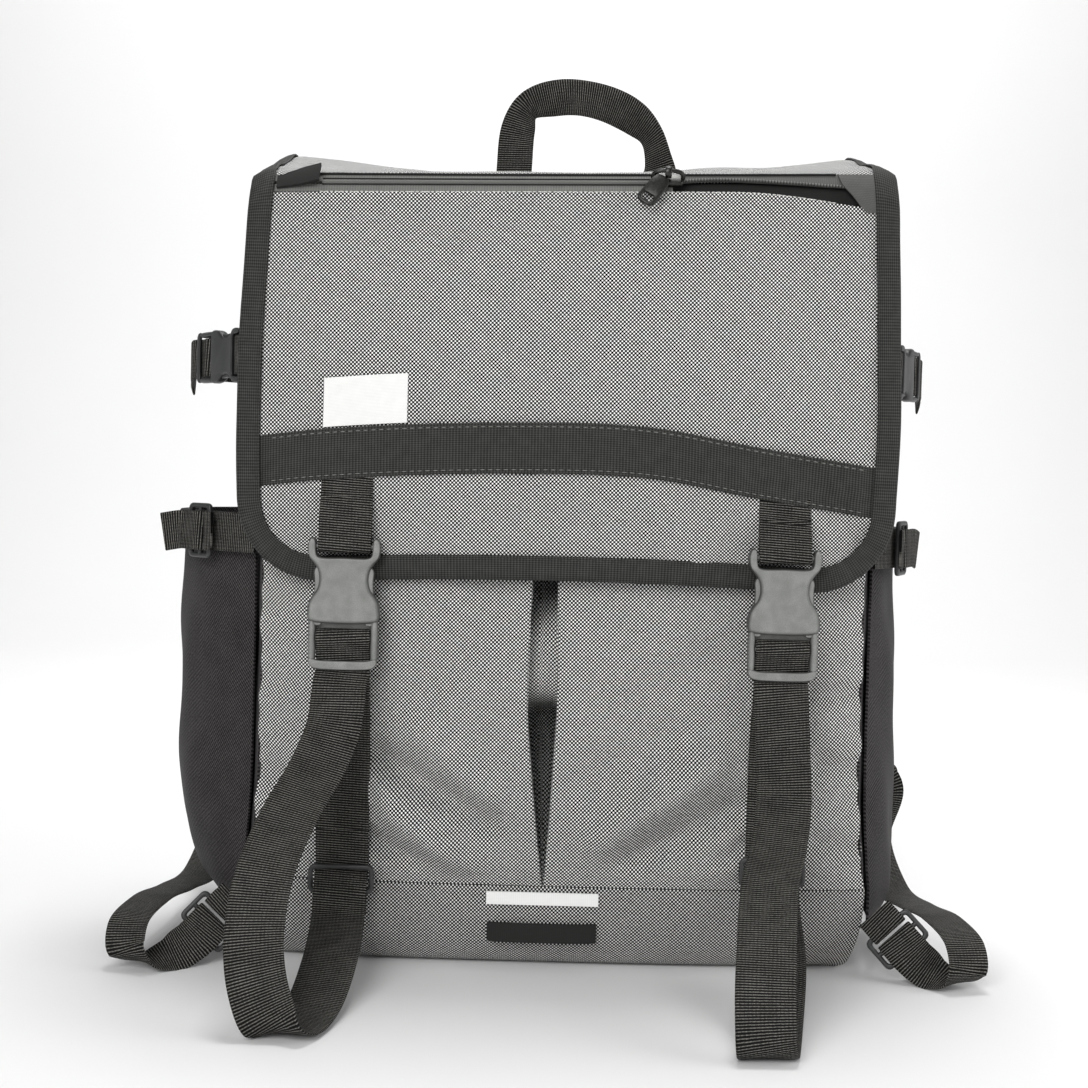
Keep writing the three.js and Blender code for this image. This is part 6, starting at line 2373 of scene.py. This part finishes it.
@dataclass
class Carrying:
    """The grab handle, the padded shoulder straps and the webbing that adjusts them."""

    handle: Webbing = Webbing(25, 2.6)
    band: Webbing = Webbing(25)
    tab: Webbing = Webbing(24)
    pad_thick: float = 11
    pad_shrink: float = 1.6
    pad_voxel: float = 4.5
    pad_cap: float = 5.0
    pad_pressure: float = 4.0
    pad_frames_run: int = 20
    pad_seam: float = 7
    pad_seam_depth: float = 1.3
    handle_rows: tuple = (
        (-41, 97, 496, 0), (-40.5, 97, 520, 0), (-38.5, 97.5, 545, 20), (-32, 98, 561.5, 48),
        (-12, 98.5, 568, 18), (6, 98.5, 568.5, 0), (27, 98, 563.5, 8), (45, 98, 554, 34),
        (56, 98, 543, 56), (61.5, 98.5, 525, 44), (62.8, 98, 510, 6), (63, 97, 498, 0),
    )
    pad_rows: tuple = (
        (48, 100, 486, 58), (54, 122, 440, 64), (70, 149, 370, 66), (98, 162, 300, 64),
        (138, 158, 225, 58), (185, 141, 160, 48), (222, 118, 108, 38), (241, 104, 82, 30),
    )
    loop_rows: tuple = (
        (231.5, 111, 95, 37, 0), (239.6, 103.2, 81, 37, 0), (227, 82, 52, 18, 0), (229, 30, 27, 4, 2),
        (234, -30, 30, 0, 6), (240, -75, 34, 0, 10), (246, -107, 27, 0, 12), (246, -116, 14, 0, 14),
        (241, -110, 5.4, 2, 24), (231, -102, 7, 14, 24),
    )
    left_shift: float = 10
    adjuster: tuple = (209, -91, 25)
    adjuster_size: tuple = (34, 22, 3, 3)

    def handle_draft(self) -> Draft:
        """The grab handle, its right leg twisted."""
        rows = np.array(self.handle_rows, float)
        twist = Table(np.arange(len(rows)), twist=rows[:, 3])

        def rule(shares: Floats, along: Floats) -> Floats:
            """The handle's width, turned about its run."""
            angle = np.radians(twist.at("twist", shares * (len(rows) - 1)))[:, None]
            flat = np.cross(along, BACKWARD)
            return flat * np.cos(angle) + np.cross(along, flat) * np.sin(angle)

        return self.handle.draft(SmoothPath(rows[:, :3]), rule)

    def pad_frames(self, side: Side) -> tuple[Floats, Floats, Floats, Floats]:
        """A pad's middle line, its directions across and out, and half its width, all along it."""
        rows = np.array(self.pad_rows, float)
        curve = SmoothPath(rows[:, :3] * np.array([side.value, 1, 1]))
        width = Table(np.arange(len(rows)), width=rows[:, 3])
        shares = np.linspace(0, 1, 90)
        along = curve.along(shares)
        across = unit(np.cross(along, BACKWARD))
        half = width.at("width", shares * (len(rows) - 1)) / 2
        return curve.at(shares), across, unit(np.cross(across, along)), half

    def pad_draft(self, side: Side) -> Draft:
        """A shoulder pad's closed form, a little smaller than it is when filled."""
        middle, across, out, half = self.pad_frames(side)
        angles = np.linspace(0, 2 * math.pi, 28, endpoint=False)
        a = squared(np.cos(angles), 0.35)
        b = squared(np.sin(angles), 0.6) * (self.pad_thick / 2 - self.pad_shrink)
        wide = (half - self.pad_shrink)[:, None] * a[None, :]
        rings = middle[:, None] + across[:, None] * wide[..., None] + out[:, None] * b[None, :, None]
        return Draft().solid(rings).turned_out()

    def swell(self, pad: bpy.types.Object) -> None:
        """Fills a pad by cloth simulation and keeps the shape."""
        scene = bpy.context.scene
        even = pad.modifiers.new("even", "REMESH")
        even.mode = "VOXEL"
        even.voxel_size = self.pad_voxel * MM
        self.keep_shape(pad)
        rest = self.places(pad.data)
        fill = pad.modifiers.new("fill", "CLOTH")
        fill.settings.use_pressure = True
        fill.settings.uniform_pressure_force = self.pad_pressure
        fill.settings.effector_weights.gravity = 0
        fill.point_cache.frame_start = 1
        fill.point_cache.frame_end = self.pad_frames_run
        for step in range(1, self.pad_frames_run + 1):
            scene.frame_set(step)
        filled = self.places(pad.evaluated_get(bpy.context.evaluated_depsgraph_get()).data)
        pad.modifiers.remove(fill)
        scene.frame_set(1)
        move = filled - rest
        reach = np.linalg.norm(move, axis=-1, keepdims=True)
        kept = rest + move * np.minimum(1, self.pad_cap * MM / np.maximum(reach, 1e-9))
        pad.data.vertices.foreach_set("co", kept.astype(np.float32).ravel())
        finer = pad.modifiers.new("finer", "SUBSURF")
        finer.levels = finer.render_levels = 1
        self.keep_shape(pad)

    @staticmethod
    def places(mesh: bpy.types.Mesh) -> Floats:
        """A mesh's points in metres."""
        flat = np.empty(len(mesh.vertices) * 3, np.float32)
        mesh.vertices.foreach_get("co", flat)
        return flat.reshape(-1, 3).astype(float)

    @staticmethod
    def keep_shape(piece: bpy.types.Object) -> None:
        """Makes what a piece's modifiers give its own mesh."""
        bpy.context.view_layer.update()
        shaped = piece.evaluated_get(bpy.context.evaluated_depsgraph_get())
        mesh = bpy.data.meshes.new_from_object(shaped)
        piece.modifiers.clear()
        piece.data = mesh

    def quilt(self, pad: bpy.types.Object, side: Side) -> None:
        """Draws a pad in along the seams beside its edges."""
        middle, across, out, half = self.pad_frames(side)
        points = self.places(pad.data) / MM
        near = np.argmin(np.linalg.norm(points[:, None] - middle[None], axis=-1), axis=1)
        off = points - middle[near]
        aside = np.einsum("ij,ij->i", off, across[near])
        outside = np.einsum("ij,ij->i", off, out[near])
        seam = np.exp(-(((np.abs(aside) - half[near] + self.pad_seam) / 2.2) ** 2))
        points -= out[near] * (np.sign(outside) * seam * self.pad_seam_depth)[:, None]
        pad.data.vertices.foreach_set("co", (points * MM).astype(np.float32).ravel())
        pad.data.polygons.foreach_set("use_smooth", np.ones(len(pad.data.polygons), bool))
        pad.data.update()

    def adjuster_frame(self, side: Side) -> tuple[Floats, Floats, Floats, Floats]:
        """Middle of an adjuster, with its long, cross and face directions."""
        sign = side.value
        x, y, z = self.adjuster
        along = unit(np.array([sign * 0.66, -0.3, -0.69]))
        across = -unit(np.cross(np.cross(np.array([sign * 0.72, 0, 0.69]), along), along))
        return np.array([sign * x, y, z]), along, across, unit(np.cross(across, along) * sign)

    def lower_paths(self, side: Side) -> tuple[SmoothPath, SmoothPath, list[Floats], Floats]:
        """The adjuster's tab and the webbing from the pad through it.

        Args:
            side: Which shoulder.

        Returns:
            The tab's path, the webbing's path, the webbing's width at its points, and the tab's width.
        """
        middle, along, across, face = self.adjuster_frame(side)
        hold = StrapFrame(middle, along, face)
        aside = hold.aside
        reach = self.adjuster_size[2] / 2 + CLOSURE.clearance + 0.2
        end = (self.adjuster_size[1] - self.adjuster_size[2]) / 2
        tab = [
            aside(-end - 11, -1.6), aside(-end - 5, -reach),
            *hold.wrapped(reach, -end, 1), aside(-end - 6, reach),
        ]
        shift = self.left_shift if side is Side.LEFT else 0
        mirror = np.array([side.value, 1, 1])
        loop = []
        for i, row in enumerate(self.loop_rows):
            moved = shift * smooth_step(0, 2, i) * (1 - smooth_step(6, len(self.loop_rows), i))
            loop.append((np.array(row[:3]) + RIGHTWARD * moved) * mirror)
        threaded = [
            aside(end + 4, -reach - 1), *hold.wrapped(reach, 0, -1),
            aside(end, reach), aside(end + 9, reach + 3),
        ]
        widths = [tipped(row[4], row[3]) * mirror for row in self.loop_rows] + [across] * len(threaded)
        return SmoothPath(tab), SmoothPath([*loop, *threaded]), widths, across

    def build(self, shop: Workshop) -> None:
        """Builds and dresses what the bag is carried by."""
        look = shop.finishes
        made = self.handle_draft().piece("webbing_grab_handle")
        shop.add(made, look.webbing, Slot.BLACK_WEBBING, ["handle"])
        for side in Side:
            made = self.pad_draft(side).piece(f"padded_shoulder_strap_{side.word}")
            self.swell(made)
            self.quilt(made, side)
            shop.add(made, look.pad, Slot.BLACK_CLOTH, [f"shoulder_pad_{side.word}"])
            tab, loop, widths, across = self.lower_paths(side)
            made = self.tab.draft(tab, steady(across)).piece(f"webbing_adjuster_tab_{side.word}")
            shop.add(made, look.webbing, Slot.BLACK_WEBBING, [f"adjuster_tab_{side.word}"])
            made = self.band.draft(loop, between(widths)).piece(f"webbing_shoulder_loop_{side.word}")
            shop.add(made, look.webbing, Slot.BLACK_WEBBING, [f"shoulder_webbing_{side.word}"])
            middle, along, across, face = self.adjuster_frame(side)
            axes = np.stack([across * side.value, -face, along], -1)
            made = ladder_slider(*self.adjuster_size).placed(axes, middle)
            made = made.piece(f"moulded_shoulder_adjuster_{side.word}")
            shop.add(made, look.dark_plastic, Slot.DARK_PLASTIC, [f"shoulder_adjuster_{side.word}"])


@dataclass
class Stitching:
    """Rows of thread along the sewn edges."""

    band_row: StitchRow = StitchRow()
    binding_row: StitchRow = StitchRow(5.2, 2.2, 0.45)
    zip_row: StitchRow = StitchRow(3.0, 2.4, 0.65)
    teeth_row: StitchRow = StitchRow(1.8, 1.1, 1.7)

    def build(self, shop: Workshop) -> None:
        """Sews the flap's band, zip and binding, and sets the open zip's teeth."""
        look = shop.finishes
        sewing = Sewing(shop)
        x = np.linspace(-COVER.band_end + 12, COVER.band_end - 12, 120)
        lines = []
        for share in (-0.42, 0.42):
            z = COVER.band.at("z", x) + share * COVER.band_height
            lines.append(FLAP.point(x, FLAP.row_at(x, z), GAP + COVER.band_thick + 0.1))
        sewing.sew("band_stitches", lines, self.band_row, look.grey_thread, Slot.PALE_TAPE)
        x = np.linspace(-150, 154, 200)
        line = FLAP.point(x, FLAP.lip_row(x) + 0.012, 1.0)
        sewing.sew("zip_stitches", [line], self.zip_row, look.pale_thread, Slot.PALE_TAPE)
        x = np.linspace(ZIP.slider_x + 10, 160, 120)
        line = FLAP.point(x, ZIP.upper_edge.at("row", x) + 0.01, -0.2)
        sewing.sew("zip_teeth", [line], self.teeth_row, look.teeth, Slot.STEEL)
        edge, inward, normal, row = COVER.edge_frame()
        lift = 2 * GAP + COVER.binding_thick + 0.1
        line = FLAP.drooped(edge + inward * (COVER.binding_reach - 1.8) + normal * lift, row)
        sewing.sew("binding_stitches", [line], self.binding_row, look.dark_thread, Slot.BLACK_WEBBING)


@dataclass
class Studio:
    """A pale sweep, soft lights and the camera."""

    lens: float = 55.16
    place: tuple = (-0.0126, -1.095, 0.306)
    tilt: float = 2.6
    roll: float = 1.5
    floor_colour: Colour = (0.84, 0.84, 0.84)
    ambient: float = 0.27

    def camera(self) -> None:
        """Sets the camera."""
        tilt, roll = math.radians(self.tilt), math.radians(self.roll)
        ahead = np.array([0, math.cos(tilt), -math.sin(tilt)])
        level = np.array([0, math.sin(tilt), math.cos(tilt)])
        right = math.cos(roll) * RIGHTWARD + math.sin(roll) * level
        up = -math.sin(roll) * RIGHTWARD + math.cos(roll) * level
        matrix = Matrix(np.stack([right, up, -ahead], -1).tolist()).to_4x4()
        matrix.translation = Vector(self.place)
        data = bpy.data.cameras.new("front_view")
        data.sensor_width = 36
        data.lens = self.lens
        made = linked("front_view", data)
        made.matrix_world = matrix
        bpy.context.scene.camera = made

    def sweep(self) -> None:
        """Makes the pale floor that curves up into a backdrop."""
        profile = [(-4.0, 0.0), (1.6, 0.0)]
        bend = np.linspace(0.1, math.pi / 2, 14)
        profile += [(1.6 + 0.9 * math.sin(a), 0.9 - 0.9 * math.cos(a)) for a in bend]
        profile += [(2.5, 4.5)]
        points = [(x, y, z) for y, z in profile for x in (-5.0, 5.0)]
        faces = [(2 * i, 2 * i + 1, 2 * i + 3, 2 * i + 2) for i in range(len(profile) - 1)]
        mesh = bpy.data.meshes.new("pale_sweep")
        mesh.from_pydata(points, [], faces)
        mesh.polygons.foreach_set("use_smooth", np.ones(len(faces), bool))
        kit = NodeKit("pale_sweep")
        tone = kit.noise(kit.object_place(), 3.0, 2.0)
        darker = tuple(0.97 * value for value in self.floor_colour)
        colour = kit.blend(tone, darker, self.floor_colour)
        mesh.materials.append(kit.finish({"Base Color": colour, "Roughness": 0.7, "Specular IOR Level": 0.2}))
        made = linked("pale_sweep", mesh)

    def lamp(self, name: str, place: tuple, aim: tuple, size: float, power: float) -> None:
        """Adds a soft square lamp.

        Args:
            name: Its name.
            place: Where it hangs.
            aim: What it points at.
            size: Length of its sides.
            power: Its strength in watts.
        """
        data = bpy.data.lights.new(name, "AREA")
        data.size = size
        data.energy = power
        made = linked(name, data)
        made.location = place
        made.rotation_euler = (Vector(aim) - Vector(place)).to_track_quat("-Z", "Y").to_euler()

    def build(self) -> None:
        """Sets up the studio."""
        scene = bpy.context.scene
        scene.view_settings.view_transform = "Standard"
        world = bpy.data.worlds.new("soft_room")
        scene.world = world
        world.use_nodes = True
        world.node_tree.nodes["Background"].inputs["Color"].default_value = (1, 1, 1, 1)
        world.node_tree.nodes["Background"].inputs["Strength"].default_value = self.ambient
        self.sweep()
        self.lamp("front_key", (-0.7, -2.0, 1.3), (0, -0.05, 0.25), 1.2, 30)
        self.lamp("top_glow", (0.1, 0.35, 2.4), (0, -0.1, 0), 0.7, 28)
        self.lamp("backdrop_glow", (0.0, 0.9, 2.5), (0, 2.4, 1.6), 1.6, 40)
        self.lamp("right_fill", (1.5, -0.4, 0.8), (0.2, 0, 0.25), 1.0, 10)
        self.camera()


def main() -> None:
    """Builds the dressed bag and the studio round it."""
    logging.basicConfig(level=logging.INFO, format="%(name)s %(message)s")
    Studio().build()
    shop = Workshop()
    for assembly in (BODY, POCKETS, COVER, ZIP, CLOSURE, SideStraps(), Carrying(), Stitching()):
        assembly.build(shop)


if __name__ == "__main__":
    main()
